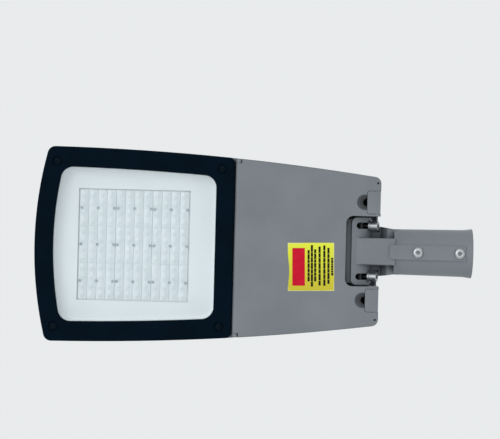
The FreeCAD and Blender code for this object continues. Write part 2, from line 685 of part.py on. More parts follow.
def bezel_frame():
    """Black frame that clamps the glass, with recesses for its screws."""
    body = plan_prism(0, 0, BEZEL_REAR_X, BEZEL_FACE, FRONT_RIM, FRONT_CORNER, BEZEL_REAR_CORNER)
    body = round_edges(body, BEZEL_EDGE_ROUND,
                       lambda e: e.BoundBox.ZMax < BEZEL_FACE + 0.01)
    window = plan_prism(BORDER_FRONT, BORDER_SIDE, BEZEL_REAR_X - BORDER_REAR, BEZEL_FACE - 1,
                        FRONT_RIM + 1, WINDOW_CORNER, WINDOW_CORNER)
    seat = plan_prism(BORDER_FRONT - GLASS_LAP - GLASS_GAP, BORDER_SIDE - GLASS_LAP - GLASS_GAP,
                      GLASS_REAR_X + GLASS_GAP, GLASS_FACE, FRONT_RIM + 1,
                      WINDOW_CORNER + GLASS_LAP, WINDOW_CORNER + GLASS_LAP)
    places = bezel_screw_places()
    recesses = upright_rods(BEZEL_RECESS_RADIUS, places, BEZEL_FACE - 1, BEZEL_FACE + BEZEL_RECESS_DEPTH)
    holes = upright_rods(BEZEL_SCREW_SHANK + JOINT_GAP, places, BEZEL_FACE, FRONT_RIM + 1)
    return body.cut([window, seat] + recesses + holes)


def screw(x, y, face, head_radius, head, shank, length):
    """Screw driven upwards, its head hanging under the face."""
    body = rod(shank, vec(x, y, face), vec(x, y, face + length))
    cap = rod(head_radius, vec(x, y, face - head), vec(x, y, face))
    slot = box(x - head_radius / 2, x + head_radius / 2, y - head_radius / 6, y + head_radius / 6,
               face - head - 1, face - head / 2)
    return fuse([body, cap]).cut(slot)


def bezel_screws():
    face = BEZEL_FACE + BEZEL_RECESS_DEPTH
    return join([screw(x, y, face, BEZEL_SCREW_HEAD, BEZEL_RECESS_DEPTH - JOINT_GAP,
                       BEZEL_SCREW_SHANK, BEZEL_SCREW_LENGTH - BEZEL_RECESS_DEPTH)
                 for x, y in bezel_screw_places()])


def glass_cover():
    return plan_prism(BORDER_FRONT - GLASS_LAP, BORDER_SIDE - GLASS_LAP, GLASS_REAR_X,
                      GLASS_FACE, GLASS_FACE + GLASS, WINDOW_CORNER + GLASS_LAP,
                      WINDOW_CORNER + GLASS_LAP)


def glass_gasket():
    z0 = GLASS_FACE + GLASS
    outer = plan_prism(BORDER_FRONT - GLASS_LAP, BORDER_SIDE - GLASS_LAP, GLASS_REAR_X, z0,
                       z0 + GASKET_THICKNESS, WINDOW_CORNER + GLASS_LAP, WINDOW_CORNER + GLASS_LAP)
    inner = plan_prism(BORDER_FRONT - GLASS_LAP + GASKET_WIDTH, BORDER_SIDE - GLASS_LAP + GASKET_WIDTH,
                       GLASS_REAR_X - GASKET_WIDTH, z0 - 1, z0 + GASKET_THICKNESS + 1,
                       WINDOW_CORNER, WINDOW_CORNER)
    return outer.cut(inner)


def module_centres():
    middle = (MODULE_ROWS - 1) / 2
    return [(ARRAY_X + (i - middle) * MODULE_PITCH, (j - middle) * MODULE_PITCH)
            for j in range(MODULE_ROWS) for i in range(MODULE_ROWS)]


def lens_places(x, y):
    middle = (LENS_ROWS - 1) / 2
    return [(x + (i - middle) * LENS_PITCH, y + (j - middle) * LENS_PITCH)
            for j in range(LENS_ROWS) for i in range(LENS_ROWS)]


def module_screw_places():
    """Left, middle and right of each module."""
    reach = MODULE / 2 - MODULE_SCREW_INSET
    return [(x + shift, y) for x, y in module_centres() for shift in (-reach, 0, reach)]


def lens_dome(x, y):
    """Faceted lens that hangs under the plate."""
    turns = [2 * math.pi * (i + 0.5) / LENS_SIDES for i in range(LENS_SIDES)]

    def ring(radius, z):
        points = [vec(x + radius * math.cos(t), y + radius * math.sin(t), z) for t in turns]
        return Part.makePolygon(points + points[:1])

    return Part.makeLoft([ring(LENS_RADIUS, LENS_LOW + 0.2),
                          ring(LENS_TOP_RADIUS, LENS_LOW - LENS_HEIGHT)], True, True)


def lens_array(x, y):
    """Moulded lens plate with its domes, hollow over the chips."""
    half = MODULE / 2
    plate = box(x - half, x + half, y - half, y + half, LENS_LOW, BOARD_LOW)
    plate = fuse([plate] + [lens_dome(*place) for place in lens_places(x, y)])
    inside = half - LENS_RIM
    cavity = box(x - inside, x + inside, y - inside, y + inside, BOARD_LOW - LENS_CAVITY, BOARD_LOW + 1)
    reach = half - MODULE_SCREW_INSET
    screws = upright_rods(MODULE_SCREW_SHANK + THREAD_GAP, [(x - reach, y), (x, y), (x + reach, y)],
                          LENS_LOW - LENS_HEIGHT, BOARD_LOW + 1)
    return plate.cut([cavity] + screws)


def led_board():
    reach = MODULE_PITCH * MODULE_ROWS / 2 + BOARD_MARGIN
    return box(ARRAY_X - reach, ARRAY_X + reach, -reach, reach, BOARD_LOW, LED_PLATE_LOW)


def led_chips():
    chips = []
    for centre in module_centres():
        for x, y in lens_places(*centre):
            chips.append(box(x - CHIP / 2, x + CHIP / 2, y - CHIP / 2, y + CHIP / 2,
                             BOARD_LOW - CHIP_HEIGHT, BOARD_LOW))
    return join(chips)


def module_screws():
    """Small screws that hold the lens plates against the board."""
    screws = []
    for x, y in module_screw_places():
        head = rod(MODULE_SCREW_HEAD, vec(x, y, LENS_LOW - MODULE_SCREW_RISE), vec(x, y, LENS_LOW))
        shank = rod(MODULE_SCREW_SHANK, vec(x, y, LENS_LOW), vec(x, y, BOARD_LOW))
        screws.append(fuse([head, shank]))
    return join(screws)


def reflector_plate():
    """White sheet round the lens plates that fills the window."""
    sheet = plan_prism(BORDER_FRONT, BORDER_SIDE, BEZEL_REAR_X - BORDER_REAR, REFLECTOR_FACE,
                       REFLECTOR_FACE + REFLECTOR, WINDOW_CORNER, WINDOW_CORNER)
    reach = MODULE_PITCH * MODULE_ROWS / 2 + REFLECTOR_GAP
    hole = box(ARRAY_X - reach, ARRAY_X + reach, -reach, reach, REFLECTOR_FACE - 1, REFLECTOR_FACE + 2)
    return sheet.cut(hole)


def driver_case():
    """Potted driver in an extruded case with cooling ribs below."""
    x = driver_x()
    length, width, height = driver_size()
    half_y = width / 2 - DRIVER_CAP - DRIVER_EAR
    low = DRIVER_TOP - height
    front_x, rear_x = x - length / 2, x + length / 2
    profile = [(front_x, low + DRIVER_CHAMFER), (front_x + DRIVER_CHAMFER, low),
               (rear_x - DRIVER_CHAMFER, low), (rear_x, low + DRIVER_CHAMFER),
               (rear_x, DRIVER_TOP), (front_x, DRIVER_TOP)]
    case = side_prism(profile, -half_y, half_y)
    grooves = []
    for i in range(1, DRIVER_GROOVES + 1):
        middle = front_x + i * length / (DRIVER_GROOVES + 1)
        grooves.append(box(middle - DRIVER_GROOVE_WIDTH / 2, middle + DRIVER_GROOVE_WIDTH / 2,
                           -WIDE, WIDE, low - 1, low + DRIVER_GROOVE_DEPTH))
    return case.cut(grooves)


def driver_end_caps():
    """End plates of the driver, each with a foot for two screws."""
    x = driver_x()
    length, width, height = driver_size()
    start = width / 2 - DRIVER_CAP - DRIVER_EAR
    plate = box(x - length / 2, x + length / 2, start, start + DRIVER_CAP,
                DRIVER_TOP - height, DRIVER_TOP)
    foot = box(x - length / 2, x + length / 2, start, start + DRIVER_CAP + DRIVER_EAR,
               DRIVER_TOP - DRIVER_EAR_HEIGHT, DRIVER_TOP)
    holes = upright_rods(SMALL_SCREW_SHANK + JOINT_GAP, driver_screw_places(),
                         DRIVER_TOP - DRIVER_EAR_HEIGHT - 1, DRIVER_TOP + 1)
    return join(both_sides(fuse([plate, foot]).cut(holes)))


def eared_block(size, place, top):
    """Electrical block with a foot at each end, hung from pads above it."""
    x, y = place
    length, width, height = size
    body = box(x - length / 2, x + length / 2, y - width / 2, y + width / 2, top - height, top)
    body = round_edges(body, BLOCK_CORNER, is_upright)
    foot = box(x - DRIVER_EAR / 2, x + DRIVER_EAR / 2, y - width / 2 - DRIVER_EAR,
               y + width / 2 + DRIVER_EAR, top - DRIVER_EAR_HEIGHT, top)
    holes = upright_rods(SMALL_SCREW_SHANK + JOINT_GAP, small_screw_places(),
                         top - DRIVER_EAR_HEIGHT - 1, top + 1)
    return fuse([body, foot]).cut(holes)


def terminal_block():
    """Wiring block with a hole for each wire in its rear face."""
    x, y = terminal_place()
    block = eared_block(TERMINAL_SIZE, (x, y), SHELF_HEIGHT)
    level = SHELF_HEIGHT - TERMINAL_SIZE[2] / 2
    face_x = x + TERMINAL_SIZE[0] / 2
    pitch = TERMINAL_SIZE[1] / (TERMINAL_POLES + 1)
    holes = []
    for i in range(1, TERMINAL_POLES + 1):
        hole_y = y - TERMINAL_SIZE[1] / 2 + i * pitch
        holes.append(rod(WIRE_HOLE, vec(face_x - WIRE_HOLE_DEPTH, hole_y, level),
                         vec(face_x + 1, hole_y, level)))
    return block.cut(holes)


def bay_screws():
    """Screws of the driver, the surge protector and the terminal block."""
    screws = [screw(x, y, DRIVER_TOP - DRIVER_EAR_HEIGHT, SMALL_SCREW_HEAD,
                    SMALL_SCREW_HEAD_HEIGHT, SMALL_SCREW_SHANK, SMALL_SCREW_LENGTH)
              for x, y in driver_screw_places()]
    screws += [screw(x, y, SHELF_HEIGHT - DRIVER_EAR_HEIGHT, SMALL_SCREW_HEAD,
                     SMALL_SCREW_HEAD_HEIGHT, SMALL_SCREW_SHANK, SMALL_SCREW_LENGTH)
               for x, y in small_screw_places()]
    return join(screws)


def lead(points):
    """Cable along straight runs joined by tangent arcs."""
    edges = []
    start = points[0]
    for before, corner, after in zip(points, points[1:], points[2:]):
        back, ahead = before - corner, after - corner
        run = min(back.Length, ahead.Length)
        setback = 0.45 * run
        back.normalize()
        ahead.normalize()
        enter, leave = corner + back * setback, corner + ahead * setback
        half_turn = (math.pi - back.getAngle(ahead)) / 2
        radius = setback / math.tan(half_turn)
        inwards = (back + ahead).normalize()
        middle = corner + inwards * (radius / math.cos(half_turn) - radius)
        edges.append(Part.makeLine(start, enter))
        edges.append(Part.Arc(enter, middle, leave).toShape())
        start = leave
    edges.append(Part.makeLine(start, points[-1]))
    path = Part.Wire(edges)
    ring = Part.makeCircle(LEAD, points[0], points[1] - points[0])
    return path.makePipeShell([Part.Wire(ring)], True, False)


def lamp_lead():
    """From the driver's end plate through the partition to the board."""
    x = driver_x()
    out = driver_size()[1] / 2 - DRIVER_EAR
    low = DRIVER_TOP - DRIVER_HEIGHT / 2
    plug = BOARD_END_X + PLUG_SIZE[0] / 2
    route = [vec(x + dx, out + dy, low + dz) for dx, dy, dz in LAMP_LEAD_START]
    route += [vec(BAY_FRONT_X + LAMP_LEAD_BEND[0], out + LAMP_LEAD_BEND[1], LEAD_LEVEL),
              vec(BAY_FRONT_X + LAMP_LEAD_ENTRY, LEAD_OUT, LEAD_LEVEL),
              vec(LAMP_BAY_REAR_X - LAMP_LEAD_EXIT, LEAD_OUT, LEAD_LEVEL),
              vec(plug + LAMP_LEAD_END, PLUG_OUT, LEAD_LEVEL), vec(plug, PLUG_OUT, LEAD_LEVEL)]
    return lead(route)


def mains_lead():
    """From the terminal block to the driver's other end plate."""
    x = driver_x()
    out = DRIVER_EAR - driver_size()[1] / 2
    low = DRIVER_TOP - DRIVER_HEIGHT / 2
    terminal_x, terminal_y = terminal_place()
    start_x = terminal_x - TERMINAL_SIZE[0] / 2
    level = SHELF_HEIGHT - TERMINAL_SIZE[2] / 2
    under = DRIVER_TOP - DRIVER_HEIGHT - 2 * LEAD
    drop_x, drop_y, drop_z = MAINS_LEAD_DROP
    heights = (under + LEAD, (under + low) / 2, low, low)
    route = [vec(start_x + dx, terminal_y + dy, level) for dx, dy in MAINS_LEAD_START]
    route.append(vec(start_x + drop_x, terminal_y + drop_y, level + drop_z))
    route += [vec(start_x + drop_x, y, under) for y in MAINS_LEAD_UNDER]
    route += [vec(x + dx, out + dy, z) for (dx, dy), z in zip(MAINS_LEAD_END, heights)]
    return lead(route)


def lamp_gland():
    """Rubber bush in the partition round the lamp lead."""
    end = BAY_FRONT_X
    body = rod(GLAND_RADIUS, vec(end - PARTITION, LEAD_OUT, LEAD_LEVEL), vec(end, LEAD_OUT, LEAD_LEVEL))
    flange = rod(GLAND_FLANGE, vec(end, LEAD_OUT, LEAD_LEVEL),
                 vec(end + GLAND_FLANGE_THICKNESS, LEAD_OUT, LEAD_LEVEL))
    hole = rod(LEAD, vec(end - WIDE, LEAD_OUT, LEAD_LEVEL), vec(end + WIDE, LEAD_OUT, LEAD_LEVEL))
    return fuse([body, flange]).cut(hole)


def board_connector():
    """Push-in block on the board's rear edge for the lamp lead."""
    length, width, height = PLUG_SIZE
    return box(BOARD_END_X - length / 2, BOARD_END_X + length / 2, PLUG_OUT - width / 2,
               PLUG_OUT + width / 2, BOARD_LOW - height, BOARD_LOW)


def cable_grommet():
    """Closed rubber plug where the supply cable passes into the bay."""
    body = rod(CABLE_HOLE, vec(BAY_REAR_X, 0, 0), vec(CAVITY_FRONT_X, 0, 0))
    flange = rod(CABLE_HOLE + GROMMET_FLANGE, vec(BAY_REAR_X - GLAND_FLANGE_THICKNESS, 0, 0),
                 vec(BAY_REAR_X, 0, 0))
    cup = rod(CABLE_HOLE - GROMMET_WALL, vec(BAY_REAR_X, 0, 0), vec(CAVITY_FRONT_X + 1, 0, 0))
    return fuse([body, flange]).cut(cup)


def spigot():
    """Pole socket, neck and slotted drum in one casting."""
    tube_end = -TUBE_LENGTH
    profile = [(tube_end, 0), (tube_end, TUBE_RADIUS_INNER_END), (-COLLAR_LENGTH, TUBE_RADIUS_MOUTH_END),
               (-1.0, COLLAR_RADIUS), (0, COLLAR_RADIUS), (0, 0)]
    face = Part.Face(Part.makePolygon([vec(x, 0, z) for x, z in profile + profile[:1]]))
    tube = face.revolve(vec(0, 0, 0), vec(1, 0, 0), 360)

    nose_x = tube_end - PAD_LAP + PAD_HALF_WIDTH
    pad = box(nose_x, -PAD_END, -PAD_HALF_WIDTH, PAD_HALF_WIDTH,
              PAD_FACE, -BORE_RADIUS - 1)
    pad_nose = rod(PAD_HALF_WIDTH, vec(nose_x, 0, PAD_FACE), vec(nose_x, 0, -BORE_RADIUS - 1))

    inner = DRUM_RADIUS - DRUM_WALL
    drum = ring_sector(inner, DRUM_RADIUS, DRUM_HALF_WIDTH, DRUM_TOP_ANGLE, DRUM_LOW_ANGLE)
    low_x = TILT_X + DRUM_RADIUS * math.cos(math.radians(DRUM_LOW_ANGLE))
    drum = round_edges(drum, DRUM_CORNER,
                       lambda e: abs(e.Length - DRUM_WALL) < 0.01 and e.BoundBox.ZMax < 0
                       and e.BoundBox.XMin < low_x)

    top_start_x, top_start_z = REAR_X - NECK_TOP_START[0], NECK_TOP_START[1]
    boss_x = REAR_X - BOSS_REACH
    lap_x = tube_end + NECK_LAP
    boss_side = [(boss_x, BOSS_RAMP_HEIGHT - DRUM_RADIUS), (boss_x + BOSS_RAMP, -DRUM_RADIUS),
                 (tube_end + 1, -DRUM_RADIUS), (tube_end + 1, NECK_TOP_HEIGHT),
                 (tube_end, NECK_TOP_HEIGHT), (top_start_x, top_start_z), (boss_x, top_start_z)]
    boss = side_prism(boss_side, -BOSS_HALF_WIDTH, BOSS_HALF_WIDTH)
    boss = round_edges(boss, BOSS_EDGE_ROUND,
                       lambda e: e.BoundBox.ZMax < 1 - DRUM_RADIUS and e.BoundBox.XLength > BOSS_RAMP + 1)
    neck_x = REAR_X + NECK_OUTSIDE
    pocket = [(tube_end + x, z) for x, z in POCKET_SLOPE]
    neck_side = [(top_start_x, POCKET_START), (top_start_x, top_start_z), (tube_end, NECK_TOP_HEIGHT),
                 (lap_x, NECK_TOP_HEIGHT), (lap_x, pocket[-1][1])] + pocket[::-1]
    neck_half = [(top_start_x, NECK_HALF_WIDTH), (neck_x, NECK_HALF_WIDTH),
                 (tube_end, TUBE_RADIUS_INNER_END), (lap_x + 1, TUBE_RADIUS_INNER_END)]
    neck_plan = [vec(x, -y, -HIGH) for x, y in neck_half] + [vec(x, y, -HIGH) for x, y in neck_half[::-1]]
    web = side_prism(neck_side, -NECK_HALF_WIDTH, NECK_HALF_WIDTH)
    web = web.common(polygon_prism(neck_plan, vec(0, 0, 2 * HIGH)))
    sweep_radius = math.hypot(DRUM_RADIUS + WASHER + SPRING_WASHER + BOLT_HEAD,
                              BOLT_HEAD_RADIUS) + HEAD_SWEEP_GAP
    sweeps = [ring_sector(DRUM_RADIUS, sweep_radius, WASHER_RADIUS + HEAD_SWEEP_GAP, SWEEP_TOP_ANGLE,
                          DRUM_LOW_ANGLE, side * BOLT_OUT) for side in (1, -1)]
    neck = fuse([boss, web]).cut(sweeps)

    body = fuse([tube, pad, pad_nose, drum, neck])
    cuts = [rod(BORE_RADIUS, vec(-BORE_DEPTH, 0, 0), vec(1, 0, 0)),
            rod(inner, vec(TILT_X, -WIDE, 0), vec(TILT_X, WIDE, 0)),
            rod(CABLE_HOLE, vec(TILT_X, 0, 0), vec(-BORE_DEPTH + 1, 0, 0))]
    for side in (1, -1):
        y = side * BOLT_OUT
        cuts.append(ring_sector(inner - 1, DRUM_RADIUS + 1, SLOT_HALF_WIDTH, -SLOT_TOP_ANGLE,
                                SLOT_LOW_ANGLE, y))
        for angle in (SLOT_TOP_ANGLE, SLOT_LOW_ANGLE):
            cuts.append(spoke(SLOT_HALF_WIDTH, y, inner - 2, DRUM_RADIUS + 2, angle))
    cuts += [rod(CLAMP_SHANK + THREAD_GAP, vec(x, 0, PAD_FACE - 1), vec(x, 0, 0)) for x in CLAMP_SCREW_XS]
    return body.cut(cuts).removeSplitter()


def clamp_screw(x):
    """Button-head screw that presses on the pole."""
    tip = -BORE_RADIUS - JOINT_GAP
    shank = rod(CLAMP_SHANK, vec(x, 0, PAD_FACE), vec(x, 0, tip))
    head = rod(CLAMP_HEAD_RADIUS, vec(x, 0, PAD_FACE - CLAMP_HEAD), vec(x, 0, PAD_FACE))
    head = round_edges(head, CLAMP_HEAD_ROUND, lambda e: e.BoundBox.ZMax < PAD_FACE - CLAMP_HEAD + 0.01)
    points = [vec(x + CLAMP_SOCKET * math.cos(math.radians(60 * i)),
                  CLAMP_SOCKET * math.sin(math.radians(60 * i)), PAD_FACE - CLAMP_HEAD - 1)
              for i in range(6)]
    return fuse([shank, head]).cut(polygon_prism(points, vec(0, 0, CLAMP_SOCKET_DEPTH + 1)))


def tilt_bolts():
    """Socket-head bolts from outside the drum into the saddle."""
    seat = DRUM_RADIUS + WASHER + SPRING_WASHER + JOINT_GAP / 2
    bolts = []
    for side in (1, -1):
        y = side * BOLT_OUT
        head = spoke(BOLT_HEAD_RADIUS, y, seat, seat + BOLT_HEAD)
        shank = spoke(BOLT_SHANK, y, SADDLE_RADIUS - BOLT_DEPTH, seat)
        socket = socket_cutter(BOLT_SOCKET, y, seat + BOLT_HEAD - BOLT_SOCKET_DEPTH, seat + BOLT_HEAD + 1)
        bolts.append(fuse([head, shank]).cut(socket))
    return join(bolts)


def tilt_washers():
    start = DRUM_RADIUS + JOINT_GAP / 2
    return join([spoke(WASHER_RADIUS, side * BOLT_OUT, start, start + WASHER).cut(
        spoke(BOLT_SHANK + JOINT_GAP, side * BOLT_OUT, start - 1, start + WASHER + 1)) for side in (1, -1)])


def tilt_spring_washers():
    """Split washers, each with its gap cut to the side."""
    start = DRUM_RADIUS + JOINT_GAP / 2 + WASHER
    rings = []
    for side in (1, -1):
        y = side * BOLT_OUT
        ring = spoke(SPRING_WASHER_RADIUS, y, start, start + SPRING_WASHER)
        hole = spoke(BOLT_SHANK + JOINT_GAP, y, start - 1, start + SPRING_WASHER + 1)
        split_y = y + side * (SPRING_WASHER_RADIUS + BOLT_SHANK + JOINT_GAP) / 2
        split = spoke(SPRING_WASHER_SPLIT, split_y, start - 1, start + SPRING_WASHER + 1)
        rings.append(ring.cut([hole, split]))
    return join(rings)


def latch_slot(grow):
    """Plan of one latch plate, with room round it, as a tall block."""
    block = box(REAR_X - LATCH_LENGTH - grow, REAR_X + 5, LATCH_OUT - LATCH_HALF_WIDTH - grow,
                LATCH_OUT + LATCH_HALF_WIDTH + grow, DOOR_FACE - 1, REAR_RIM)
    return round_edges(block, LATCH_CORNER + grow,
                       lambda e: is_upright(e) and e.Vertexes[0].X < REAR_X - LATCH_LENGTH + 1)


def scoop(grow):
    """Ball that presses a finger hollow into the skin in front of a latch."""
    radius = (SCOOP_RADIUS ** 2 + SCOOP_DEPTH ** 2) / (2 * SCOOP_DEPTH)
    centre = vec(REAR_X - LATCH_LENGTH - LATCH_GAP - SCOOP_FROM_LATCH, LATCH_OUT,
                 DOOR_FACE + SCOOP_DEPTH - radius)
    return Part.makeSphere(radius + grow, centre)


def door():
    """Die-cast door: skin, skirt, rolled hinge edge and latch pockets."""
    front_x = HINGE_X + HINGE_RADIUS
    skin_top = DOOR_FACE + DOOR_SKIN
    skirt_top = REAR_RIM - JOINT_GAP
    outer = plan_prism(0, 0, REAR_X, DOOR_FACE, skirt_top, FRONT_CORNER, REAR_CORNER)
    outer = round_edges(outer, DOOR_EDGE_ROUND, lambda e: e.BoundBox.ZMax < DOOR_FACE + 0.01)
    inner = plan_prism(DOOR_SKIRT, DOOR_SKIRT, REAR_X - DOOR_SKIRT, skin_top, skirt_top + 1,
                       FRONT_CORNER, REAR_CORNER - DOOR_SKIRT)
    body = outer.cut(inner).common(box(HINGE_X, REAR_X + 1, -WIDE, WIDE, DOOR_FACE - 1, 0))

    well_start = REAR_X - WELL_DEPTH

    def well(grow, z0, z1):
        block = box(well_start - grow, REAR_X + 5, -WELL_HALF_WIDTH - grow, WELL_HALF_WIDTH + grow, z0, z1)
        return round_edges(block, WELL_CORNER + grow,
                           lambda e: is_upright(e) and e.Vertexes[0].X < well_start + 1)

    well_skirt = well(DOOR_SKIRT, DOOR_FACE, WELL_SKIRT_TOP).common(
        box(well_start - WALL, REAR_X, -WIDE, WIDE, DOOR_FACE, 0))
    ring = seal_ring(SEAL_WIDTH, skin_top - 1, REAR_RIM - JOINT_GAP - SEAL_HEIGHT)
    scoops = both_sides(scoop(SCOOP_WALL).common(
        box(well_start - WALL, REAR_X - LATCH_LENGTH - LATCH_GAP, 0, WIDE, DOOR_FACE, 0)))
    lug_low = LATCH_OUT - LATCH_HALF_WIDTH - LATCH_GAP
    lug_high = LATCH_OUT + LATCH_HALF_WIDTH + LATCH_GAP
    lug_x = REAR_X - LATCH_LENGTH
    lugs = both_sides(box(lug_x, REAR_X - 1, lug_low - LATCH_LUG, lug_low, DOOR_FACE + 1, skirt_top))
    lugs += both_sides(box(lug_x, REAR_X - 1, lug_high, lug_high + LATCH_LUG, DOOR_FACE + 1, skirt_top))
    body = fuse([body, well_skirt, ring] + scoops + lugs)

    cuts = [well(0, DOOR_FACE - 1, 0)]
    cuts += both_sides(latch_slot(LATCH_GAP))
    cuts += both_sides(scoop(0))
    hole_x = REAR_X - LATCH_LENGTH - LATCH_GAP
    cuts += upright_rods(SCOOP_HOLE, [(hole_x, LATCH_OUT), (hole_x, -LATCH_OUT)],
                         DOOR_FACE + SCOOP_HOLE_LOW, 0)
    cuts += both_sides(latch_pin())
    weep_x = REAR_X - WEEP_FROM_REAR
    weep_y = half_width(weep_x) - WEEP_FROM_SIDE
    cuts += upright_rods(WEEP_RADIUS, [(weep_x, weep_y), (weep_x, -weep_y)], DOOR_FACE - 1, skin_top + 1)
    ear_gap = hinge_half()
    cuts += both_sides(box(HINGE_X - HINGE_RADIUS - 1, front_x + EAR_CLEARANCE, ear_gap, WIDE,
                           DOOR_FACE - 1, 0))
    cuts.append(box(HINGE_X - HINGE_RADIUS - 1, front_x, -ear_gap - 1, ear_gap + 1, HINGE_Z, 0))
    body = body.cut(cuts)
    bead = rod(HINGE_RADIUS, vec(HINGE_X, -ear_gap, HINGE_Z), vec(HINGE_X, ear_gap, HINGE_Z))
    body = fuse([body, bead])
    pin_start = ear_gap - HINGE_PIN_LENGTH / 2 - 1
    sockets = both_sides(rod(HINGE_PIN + RUNNING_GAP, vec(HINGE_X, pin_start, HINGE_Z),
                             vec(HINGE_X, ear_gap + 1, HINGE_Z)))
    return body.cut(sockets).removeSplitter()


def hinge_pins():
    start = hinge_half() - HINGE_PIN_LENGTH / 2
    end = half_width(HINGE_X) - WALL
    return join(both_sides(rod(HINGE_PIN, vec(HINGE_X, start, HINGE_Z), vec(HINGE_X, end, HINGE_Z))))


def door_gasket():
    return seal_ring(SEAL_WIDTH - 1, REAR_RIM - JOINT_GAP - SEAL_HEIGHT, REAR_RIM - JOINT_GAP)


def latch_lever():
    """Pull tab with its pivot barrel and the stem that carries the nose."""
    plate = latch_slot(0).common(box(REAR_X - LATCH_LENGTH - 1, REAR_X - LATCH_GAP, 0, WIDE,
                                     DOOR_FACE, DOOR_FACE + LATCH_PLATE))
    pivot = vec(LATCH_PIVOT_X, LATCH_OUT, LATCH_PIVOT_LEVEL)
    reach = LATCH_HALF_WIDTH - LATCH_BARREL_INSET
    barrel = rod(LATCH_BARREL, pivot - Y_AXIS * reach, pivot + Y_AXIS * reach)
    web = box(LATCH_PIVOT_X - LATCH_BARREL, LATCH_PIVOT_X + LATCH_BARREL,
              LATCH_OUT - reach, LATCH_OUT + reach, DOOR_FACE + 1, LATCH_PIVOT_LEVEL)
    stem_x = LATCH_PIVOT_X - LATCH_STEM_START
    nose_low = CATCH_LEVEL + LATCH_PLAY
    stem = box(stem_x, stem_x + LATCH_STEM, LATCH_OUT - LATCH_STEM_HALF_WIDTH,
               LATCH_OUT + LATCH_STEM_HALF_WIDTH, LATCH_PIVOT_LEVEL, nose_low + LATCH_NOSE_HEIGHT)
    nose_tip = box(stem_x, stem_x + LATCH_STEM + LATCH_NOSE_LENGTH, LATCH_OUT - CATCH_HALF_WIDTH,
                   LATCH_OUT + CATCH_HALF_WIDTH, nose_low, nose_low + LATCH_NOSE_HEIGHT)
    body = fuse([plate, barrel, web, stem, nose_tip])
    return body.cut([rod(LATCH_PIN + RUNNING_GAP, pivot - Y_AXIS * 30, pivot + Y_AXIS * 30)])


def latch_pin():
    half = LATCH_HALF_WIDTH + LATCH_GAP + LATCH_LUG - LATCH_PIN_INSET
    return rod(LATCH_PIN, vec(LATCH_PIVOT_X, LATCH_OUT - half, LATCH_PIVOT_LEVEL),
               vec(LATCH_PIVOT_X, LATCH_OUT + half, LATCH_PIVOT_LEVEL))


def catch_spring():
    """Leaf on the rear wall whose lip holds the latch's nose."""
    wall_x = REAR_X - WALL
    leaf = box(wall_x - CATCH_STRIP, wall_x, LATCH_OUT - CATCH_HALF_WIDTH, LATCH_OUT + CATCH_HALF_WIDTH,
               CATCH_LEVEL - CATCH_STRIP, CATCH_LEVEL + CATCH_LENGTH)
    lip = box(wall_x - CATCH_LIP, wall_x, LATCH_OUT - CATCH_HALF_WIDTH, LATCH_OUT + CATCH_HALF_WIDTH,
              CATCH_LEVEL - CATCH_STRIP, CATCH_LEVEL)
    return fuse([leaf, lip])


def catch_rivets():
    z = CATCH_LEVEL + CATCH_LENGTH - CATCH_RIVET_FROM_TOP
    x = REAR_X - WALL - CATCH_STRIP
    return join(both_sides(rod(CATCH_RIVET, vec(x - CATCH_RIVET_HEAD, LATCH_OUT, z), vec(x, LATCH_OUT, z))))


def rating_label():
    x, y = REAR_X - LABEL_FROM_REAR, LABEL_OUT
    label = box(x - LABEL_LENGTH / 2, x + LABEL_LENGTH / 2, y - LABEL_WIDTH / 2, y + LABEL_WIDTH / 2,
                DOOR_FACE - LABEL_THICKNESS, DOOR_FACE)
    label.rotate(vec(x, y, 0), Z_AXIS, LABEL_TURN)
    return label


def pieces():
    """Every sub-part by its name; right is +Y, as seen from the pole."""
    parts = {
        "upper_housing": upper_housing(),
        "bezel_frame": bezel_frame(),
        "bezel_screws": bezel_screws(),
        "glass_cover": glass_cover(),
        "glass_gasket": glass_gasket(),
        "reflector_plate": reflector_plate(),
        "led_board": led_board(),
        "led_chips": led_chips(),
        "module_screws": module_screws(),
        "board_connector": board_connector(),
        "driver_case": driver_case(),
        "driver_end_caps": driver_end_caps(),
        "surge_protector": eared_block(SURGE_SIZE, surge_place(), SHELF_HEIGHT),
        "terminal_block": terminal_block(),
        "bay_screws": bay_screws(),
        "lamp_lead": lamp_lead(),
        "mains_lead": mains_lead(),
        "lamp_gland": lamp_gland(),
        "cable_grommet": cable_grommet(),
        "tilt_bolts": tilt_bolts(),
        "tilt_washers": tilt_washers(),
        "tilt_spring_washers": tilt_spring_washers(),
        "hinge_pins": hinge_pins(),
        "catch_rivets": catch_rivets(),
        "catch_spring_right": catch_spring(),
        "catch_spring_left": mirrored(catch_spring()),
        "spigot": spigot(),
        "clamp_screw_inner": clamp_screw(CLAMP_SCREW_XS[0]),
        "clamp_screw_outer": clamp_screw(CLAMP_SCREW_XS[1]),
        "door": door(),
        "door_gasket": door_gasket(),
        "rating_label": rating_label(),
        "latch_pin_right": latch_pin(),
        "latch_pin_left": mirrored(latch_pin()),
        "latch_lever_right": latch_lever(),
        "latch_lever_left": mirrored(latch_lever()),
    }
    for number, (x, y) in enumerate(module_centres(), 1):
        parts["lens_array_%d" % number] = lens_array(x, y)
    return parts


os.makedirs("parts", exist_ok=True)
for name, shape in pieces().items():
    print(name, len(shape.Solids), "solids", "valid" if shape.isValid() else "NOT VALID",
          round(shape.Volume / 1000, 2), "cm3")
    shape.exportStep("parts/%s.step" % name)
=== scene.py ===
import math

import bpy
from mathutils import Matrix, Vector


